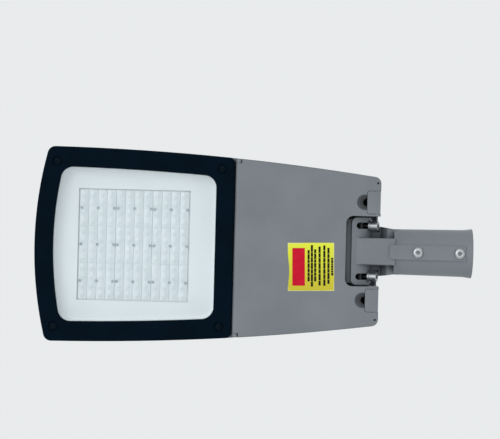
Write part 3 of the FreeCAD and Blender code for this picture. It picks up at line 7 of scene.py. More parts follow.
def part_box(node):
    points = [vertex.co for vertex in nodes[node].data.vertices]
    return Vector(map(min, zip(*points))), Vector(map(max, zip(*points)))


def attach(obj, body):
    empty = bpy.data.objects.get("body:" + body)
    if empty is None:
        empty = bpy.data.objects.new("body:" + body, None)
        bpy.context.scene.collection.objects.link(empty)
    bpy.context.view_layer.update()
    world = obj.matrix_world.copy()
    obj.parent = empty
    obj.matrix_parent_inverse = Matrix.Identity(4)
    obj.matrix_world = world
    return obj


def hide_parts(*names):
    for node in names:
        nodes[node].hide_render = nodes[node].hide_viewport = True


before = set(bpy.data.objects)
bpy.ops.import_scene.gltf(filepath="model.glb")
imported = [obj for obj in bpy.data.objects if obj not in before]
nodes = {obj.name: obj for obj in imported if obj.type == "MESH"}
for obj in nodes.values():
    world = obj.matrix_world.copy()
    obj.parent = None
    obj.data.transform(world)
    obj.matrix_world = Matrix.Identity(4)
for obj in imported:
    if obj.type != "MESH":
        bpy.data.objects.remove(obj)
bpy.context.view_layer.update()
bpy.ops.object.select_all(action="DESELECT")


# Studio. A long lens looks straight up at the lamp's face from under it, as the
# photograph does, with soft light from both sides. The pale floor lies lower than
# the open door hangs, and is only seen from above, so it never hides the lamp.

MM = 0.001
CAMERA_CENTRE = (-306.9 * MM, -39.5 * MM)
CAMERA_DISTANCE = 3.2           # metres below the lamp's face
FACE_LEVEL = -42.4 * MM
FRAME_WIDTH = 682.5 * MM        # across the photograph, at the lamp's face
CAMERA_TURN = 1.48              # degrees about the line of sight
SHEET = "#e9ebec"
FLOOR_CENTRE = (-0.3, 0.0, -0.34)
FLOOR_FADE = (0.60, 0.95)       # radii in metres between which the floor fades out
FILL_STRENGTH = 0.72
# Name, direction of the light, strength and apparent size in degrees. The lower
# one stands aside, so that the cover glass doesn't mirror it to the camera.
SOFTBOXES = (("softbox_below", (0.45, 0.28, 1.0), 0.85, 40.0),
             ("softbox_above", (0.35, 0.30, -1.0), 0.9, 40.0))


def linear(hex_colour):
    """Colour written as sRGB hex, as the shader needs it."""
    channels = [int(hex_colour[i:i + 2], 16) / 255 for i in (1, 3, 5)]
    return tuple(c / 12.92 if c <= 0.04045 else ((c + 0.055) / 1.055) ** 2.4 for c in channels) + (1.0,)


def add_node(tree, kind, settings=(), links=()):
    """Adds a node; settings fill its options and sockets, links feed its sockets."""
    node = tree.nodes.new(kind)
    for name, value in dict(settings).items():
        if isinstance(name, int) or name in node.inputs:
            node.inputs[name].default_value = value
        else:
            setattr(node, name, value)
    for name, source in dict(links).items():
        tree.links.new(source, node.inputs[name])
    return node


def new_material(name):
    """Empty node material, with its tree."""
    material = bpy.data.materials.new(name)
    material.use_nodes = True
    material.node_tree.nodes.clear()
    return material, material.node_tree


scene = bpy.context.scene
scene.view_settings.view_transform = "Standard"

camera_data = bpy.data.cameras.new("photo_camera")
camera_data.sensor_width = 36.0
camera_data.lens = camera_data.sensor_width * CAMERA_DISTANCE / FRAME_WIDTH
camera_data.clip_end = 50.0
camera = bpy.data.objects.new("photo_camera", camera_data)
scene.collection.objects.link(camera)
turn = math.radians(CAMERA_TURN)
right = Vector((math.cos(turn), -math.sin(turn), 0.0))
up = Vector((-math.sin(turn), -math.cos(turn), 0.0))
back = right.cross(up)
camera.matrix_world = Matrix((
    (right.x, up.x, back.x, CAMERA_CENTRE[0]),
    (right.y, up.y, back.y, CAMERA_CENTRE[1]),
    (right.z, up.z, back.z, FACE_LEVEL - CAMERA_DISTANCE),
    (0.0, 0.0, 0.0, 1.0)))
scene.camera = camera

bpy.ops.mesh.primitive_circle_add(vertices=96, radius=1.0, fill_type="NGON", location=FLOOR_CENTRE)
floor = bpy.context.object
floor.name = "floor_sheet"
bpy.ops.object.transform_apply(location=True, rotation=True, scale=True)
material, tree = new_material("floor_paper")
coords = add_node(tree, "ShaderNodeTexCoord")
radius = add_node(tree, "ShaderNodeVectorMath", {"operation": "DISTANCE", 1: FLOOR_CENTRE},
                  {0: coords.outputs["Object"]})
fade = add_node(tree, "ShaderNodeMapRange",
                {"From Min": FLOOR_FADE[0], "From Max": FLOOR_FADE[1], "To Min": 1.0, "To Max": 0.0,
                 "interpolation_type": "SMOOTHSTEP"}, {"Value": radius.outputs["Value"]})
path = add_node(tree, "ShaderNodeLightPath")
side = add_node(tree, "ShaderNodeNewGeometry")
front = add_node(tree, "ShaderNodeMath", {"operation": "SUBTRACT", 0: 1.0},
                 {1: side.outputs["Backfacing"]})
seen = add_node(tree, "ShaderNodeMath", {"operation": "MULTIPLY"},
                {0: front.outputs[0], 1: path.outputs["Is Camera Ray"]})
amount = add_node(tree, "ShaderNodeMath", {"operation": "MULTIPLY"},
                  {0: seen.outputs[0], 1: fade.outputs["Result"]})
paper = add_node(tree, "ShaderNodeBsdfDiffuse", {"Color": linear(SHEET)})
clear = add_node(tree, "ShaderNodeBsdfTransparent")
mix = add_node(tree, "ShaderNodeMixShader", {},
               {0: amount.outputs[0], 1: clear.outputs[0], 2: paper.outputs[0]})
add_node(tree, "ShaderNodeOutputMaterial", {}, {"Surface": mix.outputs[0]})
floor.data.materials.append(material)

# The room is pale where it is seen, directly, in gloss or through glass, and a
# soft white fill everywhere else.
world = bpy.data.worlds.new("pale_room")
scene.world = world
world.use_nodes = True
world.node_tree.nodes.clear()
path = add_node(world.node_tree, "ShaderNodeLightPath")
seen = add_node(world.node_tree, "ShaderNodeMath", {"operation": "MAXIMUM"},
                {0: path.outputs["Is Camera Ray"], 1: path.outputs["Is Transmission Ray"]})
seen = add_node(world.node_tree, "ShaderNodeMath", {"operation": "MAXIMUM"},
                {0: seen.outputs[0], 1: path.outputs["Is Glossy Ray"]})
pale = add_node(world.node_tree, "ShaderNodeBackground", {"Color": linear(SHEET), "Strength": 1.0})
fill = add_node(world.node_tree, "ShaderNodeBackground",
                {"Color": linear("#ffffff"), "Strength": FILL_STRENGTH})
mix = add_node(world.node_tree, "ShaderNodeMixShader", {},
               {0: seen.outputs[0], 1: fill.outputs[0], 2: pale.outputs[0]})
add_node(world.node_tree, "ShaderNodeOutputWorld", {}, {"Surface": mix.outputs[0]})

for name, direction, strength, softness in SOFTBOXES:
    lamp_data = bpy.data.lights.new(name, "SUN")
    lamp_data.energy = strength
    lamp_data.angle = math.radians(softness)
    lamp = bpy.data.objects.new(name, lamp_data)
    lamp.rotation_mode = "QUATERNION"
    lamp.rotation_quaternion = Vector(direction).to_track_quat("-Z", "Y")
    scene.collection.objects.link(lamp)


# Castings: housing, door, latches and spigot. Pressure die-cast aluminium with a
# grey polyester powder coat, sprayed and baked, which gives an even satin skin
# with a fine orange-peel grain and slightly softened edges.

COAT_COLOURS = ("#6e757b", "#767d83")
# Dark colour of the painted shade in hollows.
RECESS_SHADE = "#1b242b"
OPEN_SKY = (0.24, 0.58)         # share of open sky with full painted shade, and with none
LATCH_SCOOPS = [(-148.5 * MM, side * 67.0 * MM, -36.0 * MM) for side in (1, -1)]


def grain(tree, size, strength, distance, softened=0.0):
    """Surface bump with a grain of the given size, over softened edges."""
    coords = add_node(tree, "ShaderNodeTexCoord")
    noise = add_node(tree, "ShaderNodeTexNoise", {"Scale": 1.0 / size, "Detail": 2.0},
                     {"Vector": coords.outputs["Object"]})
    bump = add_node(tree, "ShaderNodeBump", {"Strength": strength, "Distance": distance},
                    {"Height": noise.outputs[0]})
    if softened:
        edge = add_node(tree, "ShaderNodeBevel", {"samples": 4, "Radius": softened})
        tree.links.new(edge.outputs[0], bump.inputs["Normal"])
    return bump.outputs[0]


def blotches(tree, colours, size):
    """Two close colours that drift into each other over the surface."""
    coords = add_node(tree, "ShaderNodeTexCoord")
    noise = add_node(tree, "ShaderNodeTexNoise", {"Scale": 1.0 / size, "Detail": 3.0},
                     {"Vector": coords.outputs["Object"]})
    ramp = add_node(tree, "ShaderNodeValToRGB", {}, {"Fac": noise.outputs[0]})
    for element, place, colour in zip(ramp.color_ramp.elements, (0.35, 0.65), colours):
        element.position = place
        element.color = linear(colour)
    return ramp.outputs[0], noise.outputs[0]


def shaded(tree, colour, depth, by_others):
    """Colour that turns to a dark painted shade where the surface lies deep in a hollow."""
    open_sky = add_node(tree, "ShaderNodeAmbientOcclusion",
                        {"samples": 8, "only_local": not by_others, "Distance": depth})
    unshaded = add_node(tree, "ShaderNodeMapRange", {"From Min": OPEN_SKY[0], "From Max": OPEN_SKY[1]},
                     {"Value": open_sky.outputs["AO"]})
    mixed = add_node(tree, "ShaderNodeMix", {"data_type": "RGBA", "A": linear(RECESS_SHADE)},
                     {"Factor": unshaded.outputs["Result"], "B": colour})
    return mixed.outputs[2]


def painted_shade_at_spots(tree, colour, spots, near, far, least):
    """Colour with painted shade that darkens towards the spots, from far away to near, down to a least
    share.
    """
    coords = add_node(tree, "ShaderNodeTexCoord")
    for spot in spots:
        away = add_node(tree, "ShaderNodeVectorMath", {"operation": "DISTANCE", 1: spot},
                        {0: coords.outputs["Object"]})
        fade = add_node(tree, "ShaderNodeMapRange",
                        {"From Min": near, "From Max": far, "To Min": least, "To Max": 1.0,
                         "interpolation_type": "SMOOTHSTEP"}, {"Value": away.outputs["Value"]})
        colour = add_node(tree, "ShaderNodeVectorMath", {"operation": "SCALE"},
                          {0: colour, "Scale": fade.outputs["Result"]}).outputs[0]
    return colour


def finished(name, colours, settings, drift, roughness, grain_size, bump, softened=0.0, recess=0.0,
             by_others=False, shade_spots=None):
    """Principled material with drifting colour and roughness and a surface grain.

    Edges are softened and hollows deeper than recess get painted shade. by_others counts
    hollows between pieces too, and shade_spots are spots of painted shade.
    """
    material, tree = new_material(name)
    colour, noise = blotches(tree, colours, drift)
    if shade_spots:
        colour = painted_shade_at_spots(tree, colour, *shade_spots)
    if recess:
        colour = shaded(tree, colour, recess, by_others)
    rough = add_node(tree, "ShaderNodeMapRange", {"To Min": roughness[0], "To Max": roughness[1]},
                     {"Value": noise})
    surface = add_node(tree, "ShaderNodeBsdfPrincipled", settings,
                       {"Base Color": colour, "Roughness": rough.outputs[0],
                        "Normal": grain(tree, grain_size, bump, grain_size / 4, softened)})
    add_node(tree, "ShaderNodeOutputMaterial", {}, {"Surface": surface.outputs[0]})
    return material


def dress(names, material):
    """Gives CAD nodes a finished material."""
    for name in names:
        slots = nodes[name].data.materials
        slots.clear()
        slots.append(material)


# A satin grey whose fine orange peel breaks up the highlights, with painted shade in its hollows.
powder_coat = finished("grey_powder_coat_on_die_casting", COAT_COLOURS, {"IOR": 1.5},
                       drift=70 * MM, roughness=(0.45, 0.58), grain_size=1.6 * MM, bump=0.18,
                       softened=0.6 * MM, recess=22 * MM)
dress(["upper_housing", "latch_lever_left", "latch_lever_right", "spigot"], powder_coat)
# The same coat, with painted shade darkening the scoops beside the latches.
door_coat = finished("grey_powder_coat_with_painted_shade_in_scoops", COAT_COLOURS, {"IOR": 1.5},
                     drift=70 * MM, roughness=(0.45, 0.58), grain_size=1.6 * MM, bump=0.18,
                     softened=0.6 * MM, recess=22 * MM,
                     shade_spots=(LATCH_SCOOPS, 3.0 * MM, 15.0 * MM, 0.07))
dress(["door"], door_coat)


# Inside of the driver bay: driver with its end plates, surge protector, terminal
# block, leads, gland, grommet and the two gaskets. Extruded aluminium, moulded ABS
# and nylon, rubber and silicone. The boxes are screwed down in the housing.

# Bare extrusion: a soft grey sheen.
driver_metal = finished("natural_extruded_aluminium", ("#9da0a2", "#a9acad"), {"Metallic": 1.0},
                        drift=30 * MM, roughness=(0.35, 0.5), grain_size=1.2 * MM, bump=0.1,
                        softened=0.4 * MM)
dress(["driver_case", "driver_end_caps"], driver_metal)
# Moulded ABS: pale, matt and even.
pale_moulding = finished("pale_grey_abs_moulding", ("#cfd0cc", "#d6d7d3"), {"IOR": 1.53},
                         drift=20 * MM, roughness=(0.45, 0.55), grain_size=1 * MM, bump=0.1,
                         softened=0.4 * MM)
dress(["surge_protector"], pale_moulding)
# Natural nylon: creamy, with a waxy gloss.
nylon = finished("natural_nylon_moulding", ("#e2e1da", "#e9e8e2"), {"IOR": 1.53}, drift=10 * MM,
                 roughness=(0.3, 0.4), grain_size=1 * MM, bump=0.08, softened=0.3 * MM)
dress(["terminal_block", "board_connector"], nylon)
# Rubber jacket: dull black, faintly pebbled.
cable_jacket = finished("black_rubber_cable_jacket", ("#17181a", "#1f2022"), {"IOR": 1.52},
                        drift=10 * MM, roughness=(0.5, 0.62), grain_size=0.8 * MM, bump=0.15)
dress(["lamp_lead", "mains_lead"], cable_jacket)
# Moulded rubber: matt black.
black_rubber = finished("black_moulded_rubber", ("#1a1b1c", "#232425"), {"IOR": 1.52}, drift=8 * MM,
                        roughness=(0.6, 0.75), grain_size=0.8 * MM, bump=0.2)
dress(["lamp_gland", "cable_grommet"], black_rubber)
# Silicone sponge: matt light grey with fine pores.
silicone = finished("grey_silicone_sponge", ("#b6b8b7", "#c2c4c3"), {"IOR": 1.43}, drift=6 * MM,
                    roughness=(0.6, 0.75), grain_size=0.8 * MM, bump=0.3)
dress(["glass_gasket", "door_gasket"], silicone)


# Fasteners. Stainless steel, cold headed and passivated: bright, with fine
# drawing marks that spread the highlights.

# Painted shade darkens it in its hollows, such as the screw sockets.
stainless = finished("passivated_stainless_steel", ("#aeb2b5", "#c2c5c8"), {"Metallic": 1.0},
                     drift=6 * MM, roughness=(0.3, 0.44), grain_size=0.8 * MM, bump=0.12,
                     softened=0.4 * MM, recess=7 * MM)
dress(["hinge_pins", "catch_rivets", "catch_spring_left", "catch_spring_right", "clamp_screw_inner",
       "clamp_screw_outer", "latch_pin_left", "latch_pin_right", "bay_screws"], stainless)
# Tilt bolts and washers: the same steel, a little duller, with painted shade in their hollows and down in
# the slots.
BOLT_SLOTS = [(-154.0 * MM, side * 35.0 * MM, -7.0 * MM) for side in (1, -1)]
dull_stainless = finished("stainless_steel_in_a_slot", ("#a4a8ac", "#b6babd"), {"Metallic": 1.0},
                          drift=6 * MM, roughness=(0.36, 0.5), grain_size=0.8 * MM, bump=0.12,
                          softened=0.4 * MM, recess=9 * MM, by_others=True,
                          shade_spots=(BOLT_SLOTS, 11.0 * MM, 13.0 * MM, 0.06))
dress(["tilt_bolts", "tilt_washers", "tilt_spring_washers"], dull_stainless)


# Light source: white board with its chips, behind a white sheet with a square
# window for the lens plates. The board is aluminium with white solder mask, the
# sheet is enamelled steel, and each chip is a square under silicone.

# Solder mask: even white with a low gloss.
solder_mask = finished("white_solder_mask", ("#e2e5e7", "#e8ebed"), {"IOR": 1.5}, drift=30 * MM,
                       roughness=(0.35, 0.45), grain_size=1.2 * MM, bump=0.05)
dress(["led_board"], solder_mask)
# Phosphor under silicone: pale yellow, softly glossy.
phosphor = finished("phosphor_in_silicone", ("#dcd9c4", "#e2dfcc"), {"IOR": 1.41}, drift=2 * MM,
                    roughness=(0.3, 0.4), grain_size=0.5 * MM, bump=0.05)
dress(["led_chips"], phosphor)
# Zinc plate: dull grey metal.
zinc = finished("dull_zinc_plated_steel", ("#8f989e", "#9da6ac"), {"Metallic": 1.0}, drift=3 * MM,
                roughness=(0.4, 0.5), grain_size=0.6 * MM, bump=0.1)
dress(["module_screws"], zinc)
# Stove enamel: clean white, low gloss.
white_enamel = finished("white_stove_enamel", ("#edf0f2", "#f1f4f6"),
                        {"IOR": 1.5, "Specular IOR Level": 0.3}, drift=60 * MM, roughness=(0.35, 0.45),
                        grain_size=1.5 * MM, bump=0.04)
dress(["reflector_plate"], white_enamel)


# Lens plates: nine alike, each with sixteen low domes on four long ribs. Injection
# moulded in clear acrylic with a faint milky cast. Three screws hold each plate
# down, in round wells through the ribs.

PLATE = 50.0 * MM
PLATE_PITCH = 50.2 * MM
PLATE_FACE = -18.2 * MM
PLATE_THICKNESS = 2.4 * MM
DOME_PITCH = 12.5 * MM
DOME_RADII = (5.0 * MM, 5.4 * MM, 2.0 * MM)
RIB = (12.35 * MM, 60.0 * MM, 2.8 * MM)
RIB_ROUND = 0.8 * MM
WELL = 2.6 * MM
WELL_PITCH = 22.5 * MM


def only_selected(obj):
    """Makes the object the active one and the only one selected."""
    bpy.ops.object.select_all(action="DESELECT")
    obj.select_set(True)
    bpy.context.view_layer.objects.active = obj


def new_primitive(name, size):
    """Names the primitive just added and puts its size and place into its mesh."""
    made = bpy.context.object
    made.name = name
    made.scale = size
    bpy.ops.object.transform_apply(location=True, rotation=True, scale=True)
    return made


def rounded_block(name, size, centre, radius, segments):
    """Block with rounded edges."""
    bpy.ops.object.select_all(action="DESELECT")
    bpy.ops.mesh.primitive_cube_add(size=1.0, location=centre)
    block = new_primitive(name, size)
    bpy.ops.object.mode_set(mode="EDIT")
    bpy.ops.mesh.select_all(action="SELECT")
    bpy.ops.mesh.bevel(offset=radius, segments=segments, profile=0.5)
    bpy.ops.object.mode_set(mode="OBJECT")
    return block


def select_where(obj, kind, wanted):
    """Enters edit mode with only the vertices, edges or faces that are wanted selected."""
    bpy.ops.object.mode_set(mode="OBJECT")
    only_selected(obj)
    bpy.ops.object.mode_set(mode="EDIT")
    bpy.ops.mesh.select_mode(type=kind)
    bpy.ops.mesh.select_all(action="DESELECT")
    bpy.ops.object.mode_set(mode="OBJECT")
    for part in {"VERT": obj.data.vertices, "EDGE": obj.data.edges, "FACE": obj.data.polygons}[kind]:
        part.select = wanted(part)
    bpy.ops.object.mode_set(mode="EDIT")


def apply_modifier(obj, kind, **settings):
    """Adds a modifier with these settings and applies it."""
    only_selected(obj)
    modifier = obj.modifiers.new(kind.lower(), kind)
    for name, value in settings.items():
        setattr(modifier, name, value)
    bpy.ops.object.modifier_apply(modifier=modifier.name)


def repeat(obj, count, step):
    """Copies along a line, within the mesh."""
    apply_modifier(obj, "ARRAY", count=count, use_relative_offset=False, use_constant_offset=True,
                   constant_offset_displace=step)


def finish_mesh(obj, smooth_degrees=35.0):
    """Merges doubles, turns faces outwards and smooths all but the sharp edges."""
    only_selected(obj)
    bpy.ops.object.mode_set(mode="EDIT")
    bpy.ops.mesh.select_all(action="SELECT")
    bpy.ops.mesh.remove_doubles(threshold=0.00001)
    bpy.ops.mesh.normals_make_consistent(inside=False)
    bpy.ops.object.mode_set(mode="OBJECT")
    bpy.ops.object.shade_smooth_by_angle(angle=math.radians(smooth_degrees))


def combine(obj, other, operation):
    """Joins the other object to the first, or cuts it out, and removes it."""
    apply_modifier(obj, "BOOLEAN", operation=operation, solver="EXACT", object=other)
    bpy.data.objects.remove(other)


first_low, first_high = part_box("lens_array_1")
first = (first_low + first_high) / 2

bpy.ops.object.select_all(action="DESELECT")
bpy.ops.mesh.primitive_uv_sphere_add(segments=16, ring_count=10, radius=1.0, location=(
    first.x - 1.5 * DOME_PITCH, first.y - 1.5 * DOME_PITCH, PLATE_FACE))
domes = new_primitive("lens_domes", DOME_RADII)
bpy.ops.object.mode_set(mode="EDIT")
bpy.ops.mesh.select_all(action="SELECT")
bpy.ops.mesh.bisect(plane_co=(first.x, first.y, PLATE_FACE + 0.8 * MM), plane_no=(0, 0, 1), use_fill=True,
                    clear_outer=True)
bpy.ops.object.mode_set(mode="OBJECT")
repeat(domes, 4, (DOME_PITCH, 0, 0))
repeat(domes, 4, (0, DOME_PITCH, 0))

ribs = rounded_block("lens_ribs", RIB, (first.x - 1.5 * DOME_PITCH, first.y, PLATE_FACE), RIB_ROUND, 4)
bpy.ops.object.mode_set(mode="EDIT")
for side in (1, -1):
    bpy.ops.mesh.select_all(action="SELECT")
    bpy.ops.mesh.bisect(plane_co=(first.x, first.y + side * (PLATE / 2 - 0.1 * MM), 0),
                        plane_no=(0, side, 0), use_fill=True, clear_outer=True)
bpy.ops.object.mode_set(mode="OBJECT")
repeat(ribs, 4, (DOME_PITCH, 0, 0))
lens_plate = rounded_block("lens_plate_1", (PLATE, PLATE, PLATE_THICKNESS),
                           (first.x, first.y, PLATE_FACE + PLATE_THICKNESS / 2), 0.5 * MM, 2)
combine(lens_plate, ribs, "UNION")
combine(lens_plate, domes, "UNION")
bpy.ops.object.select_all(action="DESELECT")
bpy.ops.mesh.primitive_cylinder_add(vertices=20, radius=1.0, depth=2.0, location=(
    first.x - WELL_PITCH, first.y, PLATE_FACE - 5.0 * MM))
wells = new_primitive("screw_wells", (WELL, WELL, 5.0 * MM))
repeat(wells, 3, (WELL_PITCH, 0, 0))
combine(lens_plate, wells, "DIFFERENCE")
finish_mesh(lens_plate)


def seen_through(tree, surface, tint):
    """Output of a clear material that lets soft light and shadow rays straight in."""
    path = add_node(tree, "ShaderNodeLightPath")
    straight = add_node(tree, "ShaderNodeMath", {"operation": "MAXIMUM"},
                        {0: path.outputs["Is Shadow Ray"], 1: path.outputs["Is Diffuse Ray"]})
    clear = add_node(tree, "ShaderNodeBsdfTransparent", {"Color": linear(tint)})
    mix = add_node(tree, "ShaderNodeMixShader", {},
                   {0: straight.outputs[0], 1: surface.outputs[0], 2: clear.outputs[0]})
    add_node(tree, "ShaderNodeOutputMaterial", {}, {"Surface": mix.outputs[0]})


# Milky acrylic, with a painted highlight: a lighter band beside each groove between the ribs.
acrylic, tree = new_material("clear_moulded_acrylic")
cast_and_highlight = blotches(tree, ("#e2e7ea", "#eaeef1"), 20 * MM)[0]
coords = add_node(tree, "ShaderNodeTexCoord")
parts = add_node(tree, "ShaderNodeSeparateXYZ", {}, {0: coords.outputs["Object"]})
across = add_node(tree, "ShaderNodeMath", {"operation": "SUBTRACT", 1: first.x - 2 * DOME_PITCH},
                  {0: parts.outputs["X"]})
across = add_node(tree, "ShaderNodeMath", {"operation": "MODULO", 1: PLATE_PITCH}, {0: across.outputs[0]})
across = add_node(tree, "ShaderNodeMath", {"operation": "MODULO", 1: DOME_PITCH}, {0: across.outputs[0]})
# Painted highlight along the flank beside each groove.
painted_highlight = add_node(tree, "ShaderNodeMapRange",
                  {"From Min": 0.9 * MM, "From Max": 3.4 * MM, "To Min": 1.03, "To Max": 0.985},
                  {"Value": across.outputs[0]})
cast_and_highlight = add_node(tree, "ShaderNodeVectorMath", {"operation": "SCALE"},
                {0: cast_and_highlight, "Scale": painted_highlight.outputs[0]})
surface = add_node(tree, "ShaderNodeBsdfPrincipled",
                   {"Roughness": 0.25, "IOR": 1.49, "Transmission Weight": 0.15,
                    "Specular IOR Level": 0.4}, {"Base Color": cast_and_highlight.outputs[0]})
seen_through(tree, surface, "#f4f9fb")
lens_plate.data.materials.append(acrylic)

lens_plates = [lens_plate]
for number in range(2, 10):
    low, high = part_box("lens_array_%d" % number)
    copy = lens_plate.copy()
    copy.data = lens_plate.data.copy()
    copy.name = "lens_plate_%d" % number
    copy.data.transform(Matrix.Translation((low + high) / 2 - first))
    scene.collection.objects.link(copy)
    lens_plates.append(copy)
for number, plate in enumerate(lens_plates, 1):
    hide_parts("lens_array_%d" % number)
    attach(plate, "housing")


# Upturned edge of the white sheet, folded down to the glass all round the window.
# Enamelled steel, as the sheet.

RIM_DROP = 11.0 * MM
RIM = 0.8 * MM

rim = bpy.data.objects.new("reflector_rim", nodes["reflector_plate"].data.copy())
scene.collection.objects.link(rim)
rim.data.materials.clear()
only_selected(rim)
bpy.ops.object.mode_set(mode="EDIT")
bpy.ops.mesh.select_all(action="SELECT")
bpy.ops.mesh.remove_doubles(threshold=0.00001)
array_low, array_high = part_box("led_board")
select_where(rim, "FACE", lambda face: abs(face.normal.z) > 0.5 or (
    array_low.x < face.center.x < array_high.x and array_low.y < face.center.y < array_high.y))
bpy.ops.mesh.delete(type="FACE")
bpy.ops.mesh.select_all(action="SELECT")
bpy.ops.mesh.normals_make_consistent(inside=False)
middle = sum(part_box("reflector_plate"), Vector()).z / 2
select_where(rim, "VERT", lambda vertex: vertex.co.z < middle)
bpy.ops.transform.translate(value=(0, 0, -RIM_DROP))
bpy.ops.object.mode_set(mode="OBJECT")
apply_modifier(rim, "SOLIDIFY", thickness=RIM, offset=-1.0)
finish_mesh(rim)
rim.data.materials.append(white_enamel)
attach(rim, "housing")


# Pad of the clamp screws, its inner end: the casting runs out there in a block
# with two rounded corners, under the same powder coat.

PAD_END = ((-114.5 * MM, -10.0 * MM, -33.42 * MM), (-104.0 * MM, 10.0 * MM, -30.5 * MM))
PAD_CORNER = 3.5 * MM

pad_low, pad_high = (Vector(corner) for corner in PAD_END)
bpy.ops.object.select_all(action="DESELECT")
bpy.ops.mesh.primitive_cube_add(size=1.0, location=(pad_low + pad_high) / 2)
pad_end = new_primitive("clamp_pad_end", pad_high - pad_low)
corners = pad_end.data.vertices


def stands_at_the_end(edge):
    """True for the two upright edges at the pad's inner end."""
    first_corner, second_corner = (corners[i].co for i in edge.vertices)
    return (first_corner - second_corner).xy.length < 0.1 * MM and first_corner.x < pad_low.x + 0.1 * MM


select_where(pad_end, "EDGE", stands_at_the_end)
bpy.ops.mesh.bevel(offset=PAD_CORNER, segments=6, profile=0.5)
bpy.ops.object.mode_set(mode="OBJECT")
finish_mesh(pad_end)
pad_end.data.materials.append(powder_coat)
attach(pad_end, "spigot")


# Cover glass: 4 mm toughened float glass, clear with a faint green-blue tint. It
# lies on a silicone gasket under the bezel.

# Smooth and clear, with a sharp gloss.
float_glass, tree = new_material("toughened_float_glass")
surface = add_node(tree, "ShaderNodeBsdfPrincipled",
                   {"Base Color": linear("#f8fcfd"), "Roughness": 0.02, "IOR": 1.52,
                    "Transmission Weight": 1.0})
seen_through(tree, surface, "#fafdfe")
dress(["glass_cover"], float_glass)


# Bezel: glass-filled nylon, moulded black, with a low sheen and a spark-eroded
# grain. Its four screws are blackened steel, sunk in round recesses.

black_nylon = finished("black_glass_filled_nylon", ("#020f19", "#03121f"),
                       {"IOR": 1.53, "Specular IOR Level": 0.02}, drift=50 * MM, roughness=(0.5, 0.62),
                       grain_size=1.4 * MM, bump=0.15, softened=0.6 * MM)
dress(["bezel_frame"], black_nylon)
black_steel = finished("blackened_steel", ("#08131b", "#0e1a22"),
                       {"IOR": 1.5, "Specular IOR Level": 0.02}, drift=4 * MM, roughness=(0.35, 0.5),
                       grain_size=0.8 * MM, bump=0.15, softened=0.3 * MM)
dress(["bezel_screws"], black_steel)


# Rating label: polyester film with a cream edge, printed yellow, with a red bar
# and ruled lines of dark ink. Its left edge has drawn in a little, and the ink
# stands a hair over the film.

LABEL_CENTRE = (-222.0 * MM, 23.0 * MM)
LABEL_TURN = -1.5
LABEL_SIZE = (63.3 * MM, 65.7 * MM)
LABEL_DRAWN_IN = 2.0 * MM
EDGE_WAVE = 2.5 * MM
EDGE_FADE = (0.3 * MM, 1.2 * MM)
TONE_SPAN = 33.0 * MM
FILM_FACE = -40.3 * MM
FILM = 0.3 * MM
INK_FACE = -40.34 * MM
INK = 0.06 * MM

label_film, tree = new_material("printed_polyester_film")
coords = add_node(tree, "ShaderNodeTexCoord")
square = add_node(tree, "ShaderNodeMapping",
                  {"vector_type": "TEXTURE", "Location": (*LABEL_CENTRE, 0.0),
                   "Rotation": (0.0, 0.0, math.radians(LABEL_TURN))},
                  {"Vector": coords.outputs["Object"]})
parts = add_node(tree, "ShaderNodeSeparateXYZ", {}, {0: square.outputs[0]})
wave = add_node(tree, "ShaderNodeTexNoise", {"Scale": 1.0 / (20 * MM), "Detail": 1.0},
                {"Vector": square.outputs[0]})
edges = []
for axis, size in zip(("X", "Y"), LABEL_SIZE):
    away = add_node(tree, "ShaderNodeMath", {"operation": "ABSOLUTE"}, {0: parts.outputs[axis]})
    wavy = add_node(tree, "ShaderNodeMath", {"operation": "MULTIPLY_ADD", 1: EDGE_WAVE},
                    {0: wave.outputs[0], 2: away.outputs[0]})
    edges.append(add_node(tree, "ShaderNodeMapRange",
                          {"From Min": size / 2 + EDGE_FADE[0], "From Max": size / 2 + EDGE_FADE[1]},
                          {"Value": wavy.outputs[0]}).outputs[0])
edge = add_node(tree, "ShaderNodeMath", {"operation": "MAXIMUM"}, {0: edges[0], 1: edges[1]})
tone = add_node(tree, "ShaderNodeMapRange", {"From Min": -TONE_SPAN, "From Max": TONE_SPAN},
                {"Value": parts.outputs["Y"]})
yellow = add_node(tree, "ShaderNodeValToRGB", {}, {"Fac": tone.outputs[0]})
for element, colour in zip(yellow.color_ramp.elements, ("#e4ee48", "#c8bd36")):
    element.color = linear(colour)
film = add_node(tree, "ShaderNodeMix", {"data_type": "RGBA", "B": linear("#e4e3a4")},
                {"Factor": edge.outputs[0], "A": yellow.outputs[0]})
surface = add_node(tree, "ShaderNodeBsdfPrincipled",
                   {"Roughness": 0.45, "IOR": 1.57, "Specular IOR Level": 0.1},
                   {"Base Color": film.outputs[2], "Normal": grain(tree, 6 * MM, 0.1, 0.4 * MM)})
add_node(tree, "ShaderNodeOutputMaterial", {}, {"Surface": surface.outputs[0]})

bpy.ops.object.select_all(action="DESELECT")
bpy.ops.mesh.primitive_grid_add(x_subdivisions=12, y_subdivisions=12, size=1.0)
film_piece = new_primitive("label_film_piece", (*LABEL_SIZE, 1.0))
select_where(film_piece, "VERT", lambda vertex: (
    vertex.co.x < -LABEL_SIZE[0] / 2 + 0.1 * MM and abs(vertex.co.y - 6.0 * MM) < 3.0 * MM))
bpy.ops.transform.translate(value=(LABEL_DRAWN_IN, 0, 0), use_proportional_edit=True,
                            proportional_edit_falloff="SMOOTH", proportional_size=28.0 * MM)
bpy.ops.mesh.select_all(action="SELECT")
bpy.ops.mesh.extrude_region_move(TRANSFORM_OT_translate={"value": (0, 0, -FILM)})
bpy.ops.object.mode_set(mode="OBJECT")
film_piece.data.transform(Matrix.Translation((*LABEL_CENTRE, FILM_FACE + FILM)) @ Matrix.Rotation(
    math.radians(LABEL_TURN), 4, "Z"))
finish_mesh(film_piece, 20.0)
film_piece.data.materials.append(label_film)
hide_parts("rating_label")
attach(film_piece, "door")


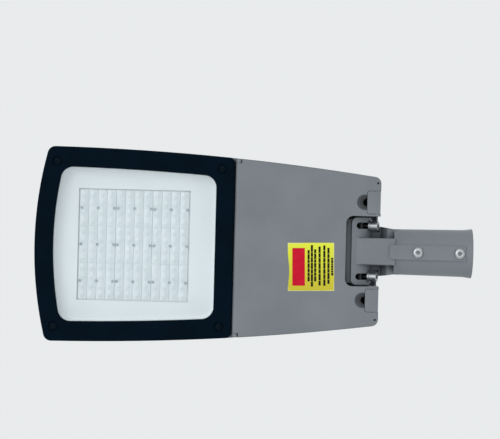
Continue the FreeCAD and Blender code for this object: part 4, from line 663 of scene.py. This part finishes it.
def ink_field(name, fields, material):
    """Flat fields of ink on the label: centre along, centre across, length, width."""
    made = []
    for along, across, length, width in fields:
        bpy.ops.object.select_all(action="DESELECT")
        bpy.ops.mesh.primitive_plane_add(size=1.0, location=(along * MM, across * MM, 0.0))
        made.append(new_primitive(name, (width * MM, length * MM, 1.0)))
    bpy.ops.object.select_all(action="DESELECT")
    for piece in made:
        piece.select_set(True)
    bpy.context.view_layer.objects.active = made[0]
    bpy.ops.object.join()
    ink = bpy.context.object
    ink.name = name
    bpy.ops.object.mode_set(mode="EDIT")
    bpy.ops.mesh.select_all(action="SELECT")
    bpy.ops.mesh.extrude_region_move(TRANSFORM_OT_translate={"value": (0, 0, -INK)})
    bpy.ops.object.mode_set(mode="OBJECT")
    ink.data.transform(Matrix.Translation((*LABEL_CENTRE, INK_FACE + INK)) @ Matrix.Rotation(
        math.radians(LABEL_TURN), 4, "Z"))
    finish_mesh(ink, 20.0)
    ink.data.materials.append(material)
    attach(ink, "door")


RED_BAR = [(-16.9, 0.0, 51.5, 17.2)]
INK_BARS = ((-3.2, -23.2, 20.2), (1.3, -30.0, 27.3), (5.8, -24.2, 20.2), (11.8, -28.0, 25.8),
            (18.3, -29.5, 26.2), (23.9, -26.2, 23.5), (29.0, -12.6, 12.1))
WORD_ENDS = (0.0, 0.13, 0.31, 0.42, 0.58, 0.71, 0.83, 1.0)
WORD_GAP = 0.5
RULE_WIDTH = 3.0
# Screen ink: flat, opaque and satin.
red_ink = finished("red_screen_ink", ("#c20d2a", "#ce1534"), {"IOR": 1.5, "Specular IOR Level": 0.1},
                   drift=8 * MM, roughness=(0.4, 0.5), grain_size=1 * MM, bump=0.1)
ink_field("label_red_bar", RED_BAR, red_ink)
dark_ink = finished("dark_screen_ink", ("#15180a", "#1c1f0c"), {"IOR": 1.5, "Specular IOR Level": 0.1},
                    drift=4 * MM, roughness=(0.4, 0.5), grain_size=1 * MM, bump=0.1)
rules = []
for index, (along, start, end) in enumerate(INK_BARS):
    for step in range(len(WORD_ENDS) - 1):
        low, high = WORD_ENDS[step], WORD_ENDS[step + 1]
        if index % 2:
            low, high = 1.0 - high, 1.0 - low
        length = (end - start) * (high - low)
        rules.append((along, start + (end - start) * (low + high) / 2, length - WORD_GAP, RULE_WIDTH))
ink_field("label_rules", rules, dark_ink)
